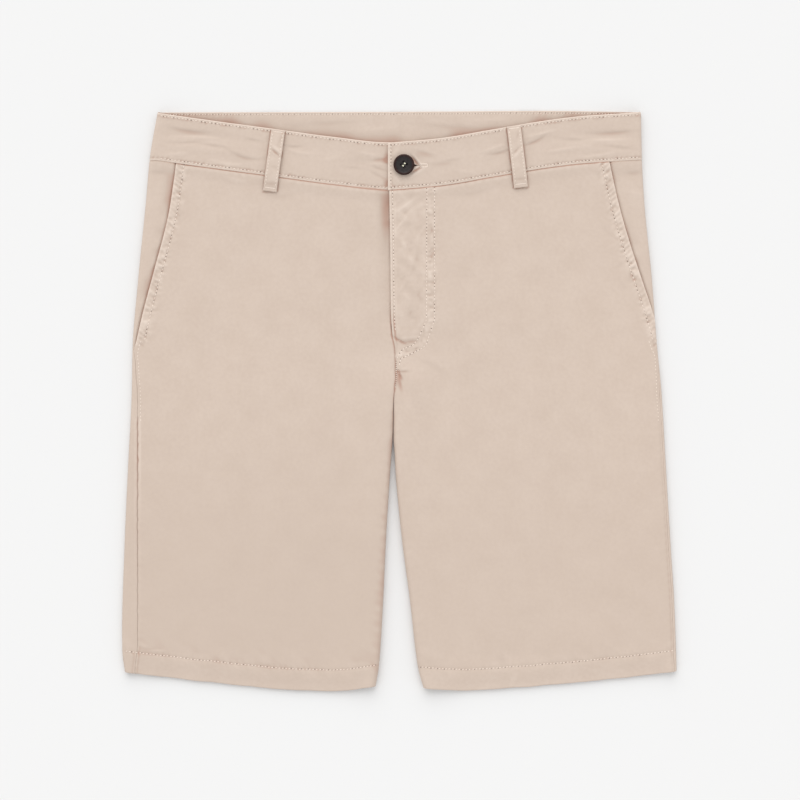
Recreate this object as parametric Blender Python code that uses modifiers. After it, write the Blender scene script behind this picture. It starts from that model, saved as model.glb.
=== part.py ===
"""Bermuda shorts in cotton twill, laid out flat with the front up, as cloth lies on a table.

Metres, +Z up. +X is the wearer's left and +Y runs from the hems to the waist. The origin is the middle of the
outline, on the surface that the shorts lie on: the back panels rest on z = 0.

Each half of the body is a flattened ring of cloth. A ring has the silhouette's two edges, a rounded fold at
the outer edge, one at the inner edge below the crotch, a flat underside, and the front's outer skin on top.
The panels are stretches of that ring, parted by a small gap at each seam. Each is a wall lofted through closed
sections, one for each row from hem to waist: along the outer skin, and back along the inner one.
"""

import math
from collections import namedtuple

import bmesh
import bpy
from mathutils import Vector

MM = 0.001
SIDES = ("right", "left")
OUTWARD = {"right": -1.0, "left": 1.0}

# ---------------------------------------------------------------- driving dimensions, in millimetres
# walls
CLOTH = 1.3  # a single panel
FACING_WALL = 1.1
SEAM_BULK = 2.4  # where seam allowances lie behind a panel
HEM_BULK = 2.1  # where the hem is turned up
FLY_BULK = 2.2  # the fly, with its facing folded under
WAIST_BULK = 2.3  # the back below the waist seam, behind the belt loops
BAND_WALL = 2.0  # two layers and interlining
FRONT_LOOP_WALL = 1.6
BACK_LOOP_WALL = 1.0

# gaps between pieces
SEAM_GAP = 0.3
SIDE_SEAM_GAP = 0.5
FOLD_SEAM_GAP = 0.7  # on a tight fold, whose inside is narrower
LAYER_GAP = 0.45  # between a piece and one that lies on it

# heights of the outer skin above the table
FIELD_HEIGHT = 5.2  # the front where it lies on the back
OUTER_FOLD_HEIGHT = 6.4  # along the side folds
INNER_FOLD_HEIGHT = 8.4  # along the inseams, where four allowances meet
FLY_HEIGHT = 7.0  # the fly, over the underlap
UNDERLAP_HEIGHT = 3.9  # the right front where the fly covers it
BAND_SIDE_HEIGHT = 7.6  # the waistband at its side folds

# free edges
EDGE_ROLL = 0.45  # how far a folded edge rounds down
EDGE_ROLL_WIDTH = 1.1

# hems and body
HEM_DEPTH = 18.5  # from the folded edge to the stitching
HEM_GROOVE = 0.45
HEM_GROOVE_WIDTH = 2.0
BAND_DEPTH = 41.0
UNDER_END_TRIM = 1.2  # how much shallower the band's under end is
UNDER_END_TAPER = 16.0
FACING_HIDDEN = 16.0  # how far the pocket facing runs on under the front
FACING_BLEND = 8.0  # over which the facing comes up level with the front
FACING_LOW_Y = 56.0
POCKET_LOW_Y = 46.0
FLY_LOW_Y = 58.0  # where the left front starts to lap over the right

# ranges over which one form runs into the next: where it starts, and where it is complete
LEGS_PART_Y = (28.0, -6.0)  # right and left are one tube above, and a tube each below
FOLD_REACH = (38.0, 0.0)  # in from a fold, from the field up to the fold's height
BULK_REACH = (42.0, 4.0)  # in from a fold, from the single cloth to the seam's bulk
BULK_Y = (48.0, 18.0)
INSEAM_RISE_Y = (46.0, 4.0)
FLY_REACH_X = (62.0, 28.0)
FLY_RISE_Y = (30.0, 56.0)
FLY_BULK_X = (38.0, 26.0)
FLY_BULK_Y = (34.0, 56.0)
UNDERLAP_REACH = (-14.0, -2.0)  # from the fly's edge
UNDERLAP_Y = (38.0, 54.0)
HEM_BULK_REACH = (26.5, 18.5)  # up from the hem's edge
FOLDS_CALM = 10.0  # soft folds die out towards a side fold or an inseam
WAIST_BULK_X = (150.0, 128.0)
WAIST_BULK_Y = (25.5, 13.5)  # down from the waist seam

# belt loops
LOOP_WIDTH = 12.0
LOOP_BELOW_BAND = 13.5
LOOP_ARCH = 1.3
LOOP_LIFT = 0.6  # of a front loop's underside above the cloth, at its sewn ends
LOOP_STEP_DOWN = (0.7, 1.0)  # share of the loop over which it comes down from band to body
LOOP_TOP_INSET = 0.4
LOOP_EDGE_ROLL = 0.3
FRONT_LOOPS = {"right": (-104.0, -7.4), "left": (98.0, 6.3)}  # x at the top, and from there to the low end
BACK_LOOPS = {"right": -112.0, "centre": 0.0, "left": 112.0}
BACK_LOOP_WIDTH = 11.0

# button and buttonhole
BUTTON_AT = (3.8, 203.0)
BUTTON_RADIUS = 9.0
BUTTON_THICKNESS = 3.4
BUTTON_RIM = 2.3
BUTTON_DISH = 0.9
BUTTON_HOLE_RADIUS = 0.95
BUTTON_HOLE_SPACING = 3.1
BUTTONHOLE_LENGTH = 20.5
BUTTONHOLE_WIDTH = 1.2
BUTTONHOLE_EYE_RADIUS = 1.4
BUTTON_CALM = (26.0, 16.0)  # soft folds die out towards the button
CUTTER_REACH = 6.0

COLOURS = {"twill": (0.70, 0.57, 0.48), "button_horn": (0.035, 0.028, 0.028)}

# ---------------------------------------------------------------- outline tables, in millimetres
Edge = namedtuple("Edge", "y x")  # a lengthwise edge: x at each height y
Line = namedtuple("Line", "x y")  # a crosswise edge: y at each x
Level = namedtuple("Level", "x z")  # height of the waistband's skin along x
Fold = namedtuple("Fold", "x y angle length width height")  # a soft ridge, or a trough if height is negative
Row = namedtuple("Row", "share added")  # a row of the loft: a share of the way up, and millimetres added
Skin = namedtuple("Skin", "x y z lean up")  # a point on the outer skin, and the way out of the cloth there

OUTER_EDGE = {
    "right": (
        Edge(-233.7, -236.2), Edge(-216.0, -238.4), Edge(-200.0, -238.7), Edge(-128.0, -236.7),
        Edge(-60.0, -233.7), Edge(9.0, -230.3), Edge(44.0, -229.7), Edge(104.0, -224.9),
        Edge(173.0, -218.0), Edge(207.0, -215.0), Edge(248.5, -208.1),
    ),
    "left": (
        Edge(-232.5, 238.4), Edge(-214.0, 237.9), Edge(-171.0, 236.3), Edge(-128.0, 233.5),
        Edge(-60.0, 229.4), Edge(9.0, 225.3), Edge(44.0, 221.9), Edge(104.0, 217.2),
        Edge(173.0, 210.5), Edge(207.0, 208.6), Edge(248.6, 207.7),
    ),
}
INNER_EDGE = {
    "right": (
        Edge(-246.0, -20.5), Edge(-228.0, -17.6), Edge(-171.0, -13.9), Edge(-121.0, -11.6),
        Edge(-61.0, -8.2), Edge(-22.0, -6.1), Edge(-4.0, -5.2), Edge(14.0, -3.2), Edge(25.0, -3.0),
        Edge(44.0, -4.4), Edge(58.0, -6.2),
    ),
    "left": (
        Edge(-247.0, 20.6), Edge(-228.0, 15.6), Edge(-171.0, 8.8), Edge(-121.0, 2.2), Edge(-81.0, -1.7),
        Edge(-41.0, -3.6), Edge(-4.0, -4.4), Edge(14.0, -2.9), Edge(25.0, -2.7), Edge(44.0, -4.1),
        Edge(58.0, -5.9), Edge(76.0, -7.3), Edge(135.0, -8.1), Edge(180.0, -8.9),
    ),
}
UNDERLAP_EDGE = (  # of the right front, hidden by the fly
    Edge(FLY_LOW_Y, -6.2), Edge(65.0, -6.8), Edge(86.0, 6.0), Edge(184.0, 6.0),
)
CENTRE_BACK = (Edge(25.0, -3.0), Edge(207.0, -0.5))
POCKET_EDGE = {
    "right": (
        Edge(POCKET_LOW_Y, -227.3), Edge(75.0, -220.7), Edge(108.0, -212.0), Edge(147.0, -201.6),
        Edge(165.0, -197.7), Edge(191.0, -193.8), Edge(208.0, -191.4),
    ),
    "left": (
        Edge(POCKET_LOW_Y, 226.0), Edge(70.0, 219.6), Edge(106.0, 207.7), Edge(136.0, 197.9),
        Edge(167.0, 189.1), Edge(208.0, 179.8),
    ),
}
SIDE_SEAM_WRAP = {  # how far in from the silhouette the side seam shows on top; x is that distance
    "right": (
        Edge(-236.0, 8.4), Edge(-206.0, 13.6), Edge(-95.0, 10.2), Edge(-16.0, 6.4), Edge(36.0, 2.4),
        Edge(47.0, 0.0),
    ),
    "left": (Edge(-236.0, 2.2), Edge(0.0, 2.0), Edge(30.0, 0.8), Edge(48.0, 0.0)),
}
HEM_LINE = {
    "right": (
        Line(-236.0, -233.7), Line(-166.0, -241.8), Line(-94.0, -248.6), Line(-60.0, -249.8),
        Line(-20.5, -245.8),
    ),
    "left": (
        Line(20.6, -247.0), Line(52.0, -249.4), Line(110.0, -246.0), Line(172.0, -240.6),
        Line(238.7, -232.5),
    ),
}
BAND_TOP_FRONT = {
    "right": (
        Line(-208.1, 247.3), Line(-168.0, 241.8), Line(-109.0, 233.9), Line(-57.0, 226.9), Line(-10.0, 222.4),
        Line(30.0, 222.4),
    ),
    "left": (
        Line(-10.0, 221.6), Line(31.0, 225.1), Line(79.0, 233.1), Line(126.0, 241.0), Line(158.0, 244.8),
        Line(207.7, 247.9),
    ),
}
BAND_TOP_BACK = (Line(-208.1, 248.4), Line(0.0, 249.0), Line(132.0, 249.8), Line(207.7, 248.6))
BAND_END = {"right": 30.0, "left": -10.0}
BAND_LEVEL = {
    "right": (
        Level(-211.0, BAND_SIDE_HEIGHT), Level(-172.0, 6.2), Level(-50.0, 5.9), Level(-16.0, 4.7),
        Level(30.0, 4.7),
    ),
    "left": (
        Level(-10.0, 7.6), Level(40.0, 7.6), Level(82.0, 5.9), Level(172.0, 6.2),
        Level(208.0, BAND_SIDE_HEIGHT),
    ),
}

BODY_FOLDS = (
    Fold(-190.0, -80.0, 92.0, 80.0, 20.0, -0.9),
    Fold(-154.0, -128.0, 88.0, 70.0, 15.0, 0.9),
    Fold(-70.0, -60.0, 84.0, 90.0, 24.0, 0.7),
    Fold(-150.0, 62.0, 76.0, 55.0, 20.0, -0.8),
    Fold(-60.0, 118.0, 82.0, 50.0, 22.0, 0.6),
    Fold(142.0, -64.0, 92.0, 75.0, 18.0, -0.9),
    Fold(72.0, -150.0, 97.0, 65.0, 18.0, 0.9),
    Fold(190.0, -110.0, 94.0, 80.0, 14.0, 0.6),
    Fold(160.0, 120.0, 104.0, 45.0, 18.0, -0.7),
    Fold(84.0, 60.0, 80.0, 60.0, 22.0, 0.6),
    Fold(2.0, 15.0, 110.0, 12.0, 4.5, -1.3),
    Fold(10.0, 20.0, 112.0, 14.0, 5.0, 0.7),
    Fold(6.0, 58.0, 20.0, 12.0, 6.0, 0.6),
)
BAND_FOLDS = (
    Fold(-173.0, 228.0, -5.0, 32.0, 5.0, -0.8),
    Fold(-165.0, 216.5, -6.0, 34.0, 5.0, 0.5),
    Fold(-138.0, 205.0, -24.0, 18.0, 4.5, -0.6),
    Fold(122.0, 223.0, 17.0, 15.0, 4.5, -0.8),
    Fold(84.0, 209.0, 18.0, 13.0, 4.5, -0.6),
    Fold(180.0, 229.0, -2.0, 28.0, 4.5, -0.7),
    Fold(176.0, 218.0, -3.0, 30.0, 5.0, 0.5),
    Fold(-34.0, 205.0, 6.0, 12.0, 5.0, -0.5),
)

# ---------------------------------------------------------------- rows and columns of the lofts
FRONT_ROWS = (
    Row(0.0, 0.0),
    Row(0.0, EDGE_ROLL_WIDTH),
    Row(0.0, 0.5 * HEM_DEPTH),
    Row(0.0, HEM_DEPTH - HEM_GROOVE_WIDTH),
    Row(0.0, HEM_DEPTH),
    Row(0.0, HEM_DEPTH + HEM_GROOVE_WIDTH),
    *(Row(0.10 + 0.053 * i, 0.0) for i in range(8)),
    *(Row(0.515 + 0.0225 * i, 0.0) for i in range(8)),
    *(Row(0.72 + 0.056 * i, 0.0) for i in range(5)),
    Row(1.0, 0.0),
)
BACK_ROWS = (
    Row(0.0, 0.0),
    Row(0.0, EDGE_ROLL_WIDTH),
    Row(0.0, HEM_DEPTH),
    *(Row(0.11 + 0.057 * i, 0.0) for i in range(7)),
    *(Row(0.50 + 0.028 * i, 0.0) for i in range(5)),
    *(Row(0.64 + 0.065 * i, 0.0) for i in range(5)),
    Row(1.0, -WAIST_BULK_Y[0]),
    Row(1.0, -WAIST_BULK_Y[1]),
    Row(1.0, 0.0),
)
BAND_FRONT_SHARES = (0.0, 0.03, 0.14, 0.28, 0.42, 0.56, 0.70, 0.84, 0.97, 1.0)
BAND_FRONT_ROWS = tuple(Row(share, 0.0) for share in BAND_FRONT_SHARES)
BAND_BACK_ROWS = tuple(Row(share, 0.0) for share in (0.0, 0.33, 0.67, 1.0))
FACING_ROWS = tuple(Row(i / 12, 0.0) for i in range(13))

# millimetres in from each end of a row, and the number of even columns between them
FRONT_FROM_OUTER = (0.0, EDGE_ROLL_WIDTH, 4.0, 9.0)
FRONT_FROM_INNER = (0.0, 1.7, 3.4, 5.1, 6.6, 14.0, 22.0)
FRONT_MIDDLE = 7
BACK_FROM_INNER = (0.0, 1.7, 3.4, 5.1, 6.6, 16.0)
BACK_MIDDLE = 6
FOLD_STEPS = 6
FACING_COLUMNS = 8
BAND_FOLD_STEPS = 4
BAND_FRONT_COLUMNS = 22
BAND_BACK_COLUMNS = 10
LOOP_STEPS = 12
LOOP_COLUMNS = (-0.5, -0.42, -0.15, 0.15, 0.42, 0.5)


# ---------------------------------------------------------------- small maths
def between(value, start, end):
    """0 at start and 1 at end, smoothly, in either direction."""
    t = min(1.0, max(0.0, (value - start) / (end - start)))
    return t * t * (3.0 - 2.0 * t)


def curve_through(rows):
    """A smooth function through a table of (place, value) rows, held level past both ends."""
    places = [row[0] for row in rows]
    values = [row[1] for row in rows]
    last = len(places) - 1
    steps = [(values[i + 1] - values[i]) / (places[i + 1] - places[i]) for i in range(last)]
    slopes = [steps[0]]
    for before, after in zip(steps, steps[1:]):
        turns = before * after <= 0.0
        slopes.append(0.0 if turns else 2.0 * before * after / (before + after))
    slopes.append(steps[-1])

    def value_at(place):
        if place <= places[0]:
            return values[0]
        if place >= places[-1]:
            return values[-1]
        i = next(k for k in range(last) if place < places[k + 1])
        width = places[i + 1] - places[i]
        t = (place - places[i]) / width
        return (
            (1 + 2 * t) * (1 - t) ** 2 * values[i]
            + t * (1 - t) ** 2 * width * slopes[i]
            + t * t * (3 - 2 * t) * values[i + 1]
            + t * t * (t - 1) * width * slopes[i + 1]
        )

    return value_at


outer_x = {side: curve_through(OUTER_EDGE[side]) for side in SIDES}
inner_x = {side: curve_through(INNER_EDGE[side]) for side in SIDES}
underlap_x = curve_through(UNDERLAP_EDGE)
centre_back_x = curve_through(CENTRE_BACK)
pocket_x = {side: curve_through(POCKET_EDGE[side]) for side in SIDES}
seam_wrap = {side: curve_through(SIDE_SEAM_WRAP[side]) for side in SIDES}
hem_y = {side: curve_through(HEM_LINE[side]) for side in SIDES}
band_top_y = {side: curve_through(BAND_TOP_FRONT[side]) for side in SIDES}
band_top_back_y = curve_through(BAND_TOP_BACK)
band_level = {side: curve_through(BAND_LEVEL[side]) for side in SIDES}


def front_seam_y(side, x):
    """Where the front meets the waistband."""
    under_end = between(x, BAND_END["left"], BAND_END["left"] + UNDER_END_TAPER) if side == "right" else 0.0
    return band_top_y[side](x) - BAND_DEPTH + UNDER_END_TRIM * under_end


def back_seam_y(x):
    return band_top_back_y(x) - BAND_DEPTH


def fold_lift(folds, x, y):
    """What the soft folds add to the height at a point."""
    lift = 0.0
    for fold in folds:
        turn = math.radians(fold.angle)
        along = (x - fold.x) * math.cos(turn) + (y - fold.y) * math.sin(turn)
        across = -(x - fold.x) * math.sin(turn) + (y - fold.y) * math.cos(turn)
        lift += fold.height * math.exp(-((along / fold.length) ** 2) - (across / fold.width) ** 2)
    return lift


# ---------------------------------------------------------------- the form of the body
def front_inner_x(side, y):
    if side == "right" and y > FLY_LOW_Y:
        return underlap_x(y)
    return inner_x[side](y)


def back_inner_x(side, y):
    """The inseam below the crotch, and the centre back seam above it."""
    if y < CENTRE_BACK[0].y:
        return inner_x[side](y)
    return centre_back_x(y) + 0.5 * SEAM_GAP * OUTWARD[side]


def leg_share(y):
    """0 where right and left are one tube, and 1 where each leg is a tube."""
    return between(y, *LEGS_PART_Y)


def front_height(side, x, y):
    """Height of the front's outer skin, before its free edges round down."""
    from_outer = abs(x - outer_x[side](y)) - 0.5 * OUTER_FOLD_HEIGHT
    from_inner = abs(x - inner_x[side](y)) - 0.5 * INNER_FOLD_HEIGHT
    height = FIELD_HEIGHT
    height += (OUTER_FOLD_HEIGHT - FIELD_HEIGHT) * between(from_outer, *FOLD_REACH)
    inseam = between(from_inner, *FOLD_REACH) * between(y, *INSEAM_RISE_Y)
    height += (INNER_FOLD_HEIGHT - FIELD_HEIGHT) * inseam
    if side == "left":
        height += (FLY_HEIGHT - FIELD_HEIGHT) * between(x, *FLY_REACH_X) * between(y, *FLY_RISE_Y)
    else:
        dip = between(x - inner_x["left"](y), *UNDERLAP_REACH) * between(y, *UNDERLAP_Y)
        height -= (FIELD_HEIGHT - UNDERLAP_HEIGHT) * dip
    groove = (y - hem_y[side](x) - HEM_DEPTH) / HEM_GROOVE_WIDTH
    relief = fold_lift(BODY_FOLDS, x, y) - HEM_GROOVE * math.exp(-groove * groove)
    calm = between(from_inner, FOLDS_CALM, 0.0) * leg_share(y)
    return height + relief * between(from_outer, 0.0, FOLDS_CALM) * (1.0 - calm)


def panel_wall(side, x, y):
    """Wall of a front or back panel: thicker over the inseam and the hem."""
    from_inner = abs(x - inner_x[side](y))
    seam = between(from_inner, *BULK_REACH) * between(y, *BULK_Y)
    hem = between(y - hem_y[side](x), *HEM_BULK_REACH)
    return CLOTH + max((SEAM_BULK - CLOTH) * seam, (HEM_BULK - CLOTH) * hem)


def front_wall(side, x, y):
    fly = between(x, *FLY_BULK_X) * between(y, *FLY_BULK_Y) if side == "left" else 0.0
    return max(panel_wall(side, x, y), CLOTH + (FLY_BULK - CLOTH) * fly)


def back_wall(side, x, y):
    below_waist = between(back_seam_y(x) - y, *WAIST_BULK_Y) * between(abs(x), *WAIST_BULK_X)
    return max(panel_wall(side, x, y), CLOTH + (WAIST_BULK - CLOTH) * below_waist)


def facing_depth(side, x, y):
    """How far the facing lies below the ring: one cloth under the front, coming up level past its edge."""
    past_edge = OUTWARD[side] * (x - pocket_x[side](y))
    return (CLOTH + LAYER_GAP) * between(past_edge, FACING_BLEND, 0.0)


def band_height(side, x, y):
    from_side = abs(x - outer_x[side](y)) - 0.5 * BAND_SIDE_HEIGHT
    calm = between(abs(x - BUTTON_AT[0]), *BUTTON_CALM)
    folds = fold_lift(BAND_FOLDS, x, y) * (1.0 - calm) * between(from_side, 0.0, FOLDS_CALM)
    return band_level[side](x) + folds


# ---------------------------------------------------------------- the flattened ring
class Ring:
    """A half's ring: its outer edge with a fold of edge_height, its inner edge, and the skin's height on top.

    A way round it counts millimetres from the outer fold's middle: positive on top, negative underneath.
    share_at(y) of the turn at the inner edge is made, and the rest is open."""

    def __init__(self, side, edge_height, inner_at, height_at, share_at=None):
        self.side = side
        self.out = OUTWARD[side]
        self.outer_radius = 0.5 * edge_height
        self.outer_arc = 0.5 * math.pi * self.outer_radius
        self.inner_at = inner_at
        self.height_at = height_at
        self.share_at = share_at or (lambda y: 0.0)

    def width(self, y):
        return abs(outer_x[self.side](y) - self.inner_at(self.side, y))

    def length(self, y):
        """The way from the outer fold's middle to the inner edge."""
        sweep = 0.5 * math.pi * self.share_at(y)
        inner_arc = (sweep - math.sin(sweep)) * 0.5 * INNER_FOLD_HEIGHT
        return self.width(y) + self.outer_arc - self.outer_radius + inner_arc

    def way_in(self, distance):
        """The way to the point that lies this far in from the silhouette."""
        if distance < self.outer_radius:
            return self.outer_radius * math.acos(1.0 - distance / self.outer_radius)
        return distance + self.outer_arc - self.outer_radius

    def skin(self, y, signed_way):
        outer = outer_x[self.side](y)
        inner = self.inner_at(self.side, y)
        inner_radius = 0.5 * INNER_FOLD_HEIGHT
        sweep = 0.5 * math.pi * self.share_at(y)
        inner_start = inner_radius * math.sin(sweep)
        flat = self.width(y) - self.outer_radius - inner_start
        way = abs(signed_way)
        if way < self.outer_arc:
            angle = 0.5 * math.pi - way / self.outer_radius
            level_x = outer - self.out * self.outer_radius
            x = level_x + self.out * self.outer_radius * math.sin(angle)
            drop = self.outer_radius * (1 - math.cos(angle))
            lean = self.out * math.sin(angle)
        elif way <= self.outer_arc + flat:
            angle = 0.0
            x = outer - self.out * (self.outer_radius + way - self.outer_arc)
            level_x = x
            drop = 0.0
            lean = 0.0
        else:
            angle = min(sweep, (way - self.outer_arc - flat) / inner_radius)
            level_x = inner + self.out * inner_start
            x = level_x - self.out * inner_radius * math.sin(angle)
            drop = inner_radius * (1 - math.cos(angle))
            lean = -self.out * math.sin(angle)
        if signed_way < 0:
            return Skin(x, y, drop, lean, -math.cos(angle))
        return Skin(x, y, self.height_at(self.side, level_x, y) - drop, lean, math.cos(angle))

    def crossing(self, row, way_at, low_at, high_at):
        """The skin where a row crosses a way. Rows are tilted and curved, so y is found in a few steps."""
        y = low_at(0.5 * (outer_x[self.side](0.0) + inner_x[self.side](0.0)))
        for _ in range(5):
            skin = self.skin(y, way_at(y))
            y = low_at(skin.x) * (1 - row.share) + high_at(skin.x) * row.share + row.added
        return skin._replace(y=y)


def wall_pair(skin, wall, depth=0.0, roll=0.0):
    """The wall's outer and inner point, at a depth below the skin. roll rounds its outer edge down."""
    outer = Vector((skin.x - skin.lean * depth, skin.y, skin.z - skin.up * depth - roll))
    inner = Vector((skin.x - skin.lean * (depth + wall), skin.y, skin.z - skin.up * (depth + wall)))
    return outer, inner


# ---------------------------------------------------------------- building in Blender
def clear_scene():
    for obj in list(bpy.data.objects):
        bpy.data.objects.remove(obj, do_unlink=True)


def new_collection(name):
    collection = bpy.data.collections.new(name)
    bpy.context.scene.collection.children.link(collection)
    return collection


def new_material(name, roughness):
    material = bpy.data.materials.new(name)
    material.use_nodes = True
    shader = material.node_tree.nodes["Principled BSDF"]
    shader.inputs["Base Color"].default_value = (*COLOURS[name], 1.0)
    shader.inputs["Roughness"].default_value = roughness
    shader.inputs["Metallic"].default_value = 0.0
    return material


def new_object(name, mesh, collection, material=None):
    obj = bpy.data.objects.new(name, mesh)
    collection.objects.link(obj)
    if material:
        mesh.materials.append(material)
    return obj


def wall_loft(name, rows, material, collection, mirrored=False):
    """A closed wall through rows of (outer, inner) points. A mirrored one has its faces turned round."""
    work = bmesh.new()
    sections = []
    for row in rows:
        outer = [work.verts.new(pair[0] * MM) for pair in row]
        inner = [work.verts.new(pair[1] * MM) for pair in row]
        sections.append(outer + inner[::-1])
    for low, high in zip(sections, sections[1:]):
        for i in range(len(low)):
            work.faces.new((low[i - 1], low[i], high[i], high[i - 1]))
    for end, first in ((sections[0], True), (sections[-1], False)):
        for i in range(len(end) // 2 - 1):
            cap = (end[i], end[-1 - i], end[-2 - i], end[i + 1])
            work.faces.new(cap if first else cap[::-1])
    if mirrored:
        bmesh.ops.reverse_faces(work, faces=work.faces)
    mesh = bpy.data.meshes.new(name)
    work.to_mesh(mesh)
    work.free()
    mesh.shade_smooth()
    mesh.set_sharp_from_angle(angle=math.radians(40.0))
    return new_object(name, mesh, collection, material)


def slab(name, low, high, collection, material=None):
    """A box from its lowest corner to its highest, in millimetres."""
    work = bmesh.new()
    bmesh.ops.create_cube(work, size=1.0)
    bmesh.ops.scale(work, vec=(high - low) * MM, verts=work.verts)
    mesh = bpy.data.meshes.new(name)
    work.to_mesh(mesh)
    work.free()
    obj = new_object(name, mesh, collection, material)
    obj.location = (low + high) * (0.5 * MM)
    return obj


def peg(name, radius, height, centre, collection):
    """A round upright bar, in millimetres."""
    work = bmesh.new()
    bmesh.ops.create_cone(
        work, cap_ends=True, segments=12, radius1=radius * MM, radius2=radius * MM, depth=height * MM
    )
    mesh = bpy.data.meshes.new(name)
    work.to_mesh(mesh)
    work.free()
    obj = new_object(name, mesh, collection)
    obj.location = centre * MM
    return obj


def cut(obj, cutter):
    """Cuts a hole the shape of the cutter, which is a guide and not a part."""
    cutter.hide_render = True
    cutter.display_type = "WIRE"
    boolean = obj.modifiers.new("cut_" + cutter.name, "BOOLEAN")
    boolean.operation = "DIFFERENCE"
    boolean.object = cutter


# ---------------------------------------------------------------- fronts and backs
def front_start_way(ring, side, y):
    """Where the front begins: at the pocket opening, or below it just past the side seam."""
    seam = ring.way_in(seam_wrap[side](y)) + SIDE_SEAM_GAP
    if y <= POCKET_LOW_Y:
        return seam
    return max(seam, ring.way_in(abs(pocket_x[side](y) - outer_x[side](y))))


def front_ways(ring, side, y):
    """The ways of a front's columns, from its outer edge to its inner one."""
    start = front_start_way(ring, side, y)
    end = ring.length(y) - 0.5 * FOLD_SEAM_GAP
    first = start + FRONT_FROM_OUTER[-1]
    last = end - FRONT_FROM_INNER[-1]
    middle = [first + (last - first) * i / (FRONT_MIDDLE + 1) for i in range(1, FRONT_MIDDLE + 1)]
    from_inner = [end - step for step in FRONT_FROM_INNER[::-1]]
    return [start + step for step in FRONT_FROM_OUTER] + middle + from_inner


def front_panel(side, material, collection):
    """From the pocket opening or side seam, over the top, to the fly, the centre seam or the inseam."""
    ring = Ring(side, OUTER_FOLD_HEIGHT, front_inner_x, front_height, leg_share)
    columns = len(front_ways(ring, side, 0.0))
    rows = []
    for row in FRONT_ROWS:
        pairs = []
        for column in range(columns):
            skin = ring.crossing(
                row,
                lambda y, c=column: front_ways(ring, side, y)[c],
                hem_y[side],
                lambda x: front_seam_y(side, x) - SEAM_GAP,
            )
            at_hem = row is FRONT_ROWS[0]
            at_pocket = column == 0 and skin.y > POCKET_LOW_Y
            at_fly = column == columns - 1 and side == "left" and skin.y > FLY_LOW_Y
            roll = EDGE_ROLL if at_hem or at_pocket or at_fly else 0.0
            pairs.append(wall_pair(skin, front_wall(side, skin.x, skin.y), roll=roll))
        rows.append(pairs)
    return wall_loft(f"front_{side}", rows, material, collection, mirrored=side == "left")


def back_ways(ring, side, y):
    """The ways of a back's columns, from its inner edge, underneath, round the outer fold, to the side seam."""
    start = 0.5 * FOLD_SEAM_GAP - ring.length(y)
    seam = ring.way_in(seam_wrap[side](y))
    first = start + BACK_FROM_INNER[-1]
    last = -ring.outer_arc
    middle = [first + (last - first) * i / (BACK_MIDDLE + 1) for i in range(1, BACK_MIDDLE + 1)]
    fold = [last + (seam - last) * i / FOLD_STEPS for i in range(FOLD_STEPS + 1)]
    return [start + step for step in BACK_FROM_INNER] + middle + fold


def back_panel(side, material, collection):
    ring = Ring(side, OUTER_FOLD_HEIGHT, back_inner_x, front_height, leg_share)
    columns = len(back_ways(ring, side, 0.0))
    rows = []
    for row in BACK_ROWS:
        pairs = []
        for column in range(columns):
            skin = ring.crossing(
                row,
                lambda y, c=column: back_ways(ring, side, y)[c],
                hem_y[side],
                lambda x: back_seam_y(x) - SEAM_GAP,
            )
            pairs.append(wall_pair(skin, back_wall(side, skin.x, skin.y)))
        rows.append(pairs)
    return wall_loft(f"back_{side}", rows, material, collection, mirrored=side == "left")


def pocket_facing(side, material, collection):
    """The hip piece that shows in the pocket opening and runs on under the front."""
    ring = Ring(side, OUTER_FOLD_HEIGHT, front_inner_x, front_height, leg_share)

    def way_at(y, column):
        start = ring.way_in(seam_wrap[side](y)) + SIDE_SEAM_GAP
        end = ring.way_in(abs(pocket_x[side](y) - outer_x[side](y)) + FACING_HIDDEN)
        return start + (end - start) * column / FACING_COLUMNS

    rows = []
    for row in FACING_ROWS:
        pairs = []
        for column in range(FACING_COLUMNS + 1):
            skin = ring.crossing(
                row,
                lambda y, c=column: way_at(y, c),
                lambda x: FACING_LOW_Y,
                lambda x: front_seam_y(side, x) - SEAM_GAP,
            )
            pairs.append(wall_pair(skin, FACING_WALL, depth=facing_depth(side, skin.x, skin.y)))
        rows.append(pairs)
    return wall_loft(f"pocket_facing_{side}", rows, material, collection, mirrored=side == "left")


# ---------------------------------------------------------------- waistband
def band_front(side, material, collection):
    """The front waistband, from the side fold to its end at the centre."""
    ring = Ring(side, BAND_SIDE_HEIGHT, lambda side, y: BAND_END[side], band_height)
    last_column = BAND_FOLD_STEPS + BAND_FRONT_COLUMNS + 1

    def way_at(y, column):
        start = 0.5 * FOLD_SEAM_GAP
        if column <= BAND_FOLD_STEPS:
            return start + (ring.outer_arc - start) * column / BAND_FOLD_STEPS
        if column == last_column:
            return ring.length(y)
        flat = ring.length(y) - EDGE_ROLL_WIDTH - ring.outer_arc
        return ring.outer_arc + flat * (column - BAND_FOLD_STEPS) / BAND_FRONT_COLUMNS

    rows = []
    for row in BAND_FRONT_ROWS:
        pairs = []
        for column in range(last_column + 1):
            skin = ring.crossing(
                row,
                lambda y, c=column: way_at(y, c),
                lambda x: front_seam_y(side, x),
                band_top_y[side],
            )
            lengthwise_edge = column >= BAND_FOLD_STEPS and row.share in (0.0, 1.0)
            roll = EDGE_ROLL if lengthwise_edge or column == last_column else 0.0
            pairs.append(wall_pair(skin, BAND_WALL, roll=roll))
        rows.append(pairs)
    return wall_loft(f"waistband_front_{side}", rows, material, collection, mirrored=side == "left")


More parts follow.
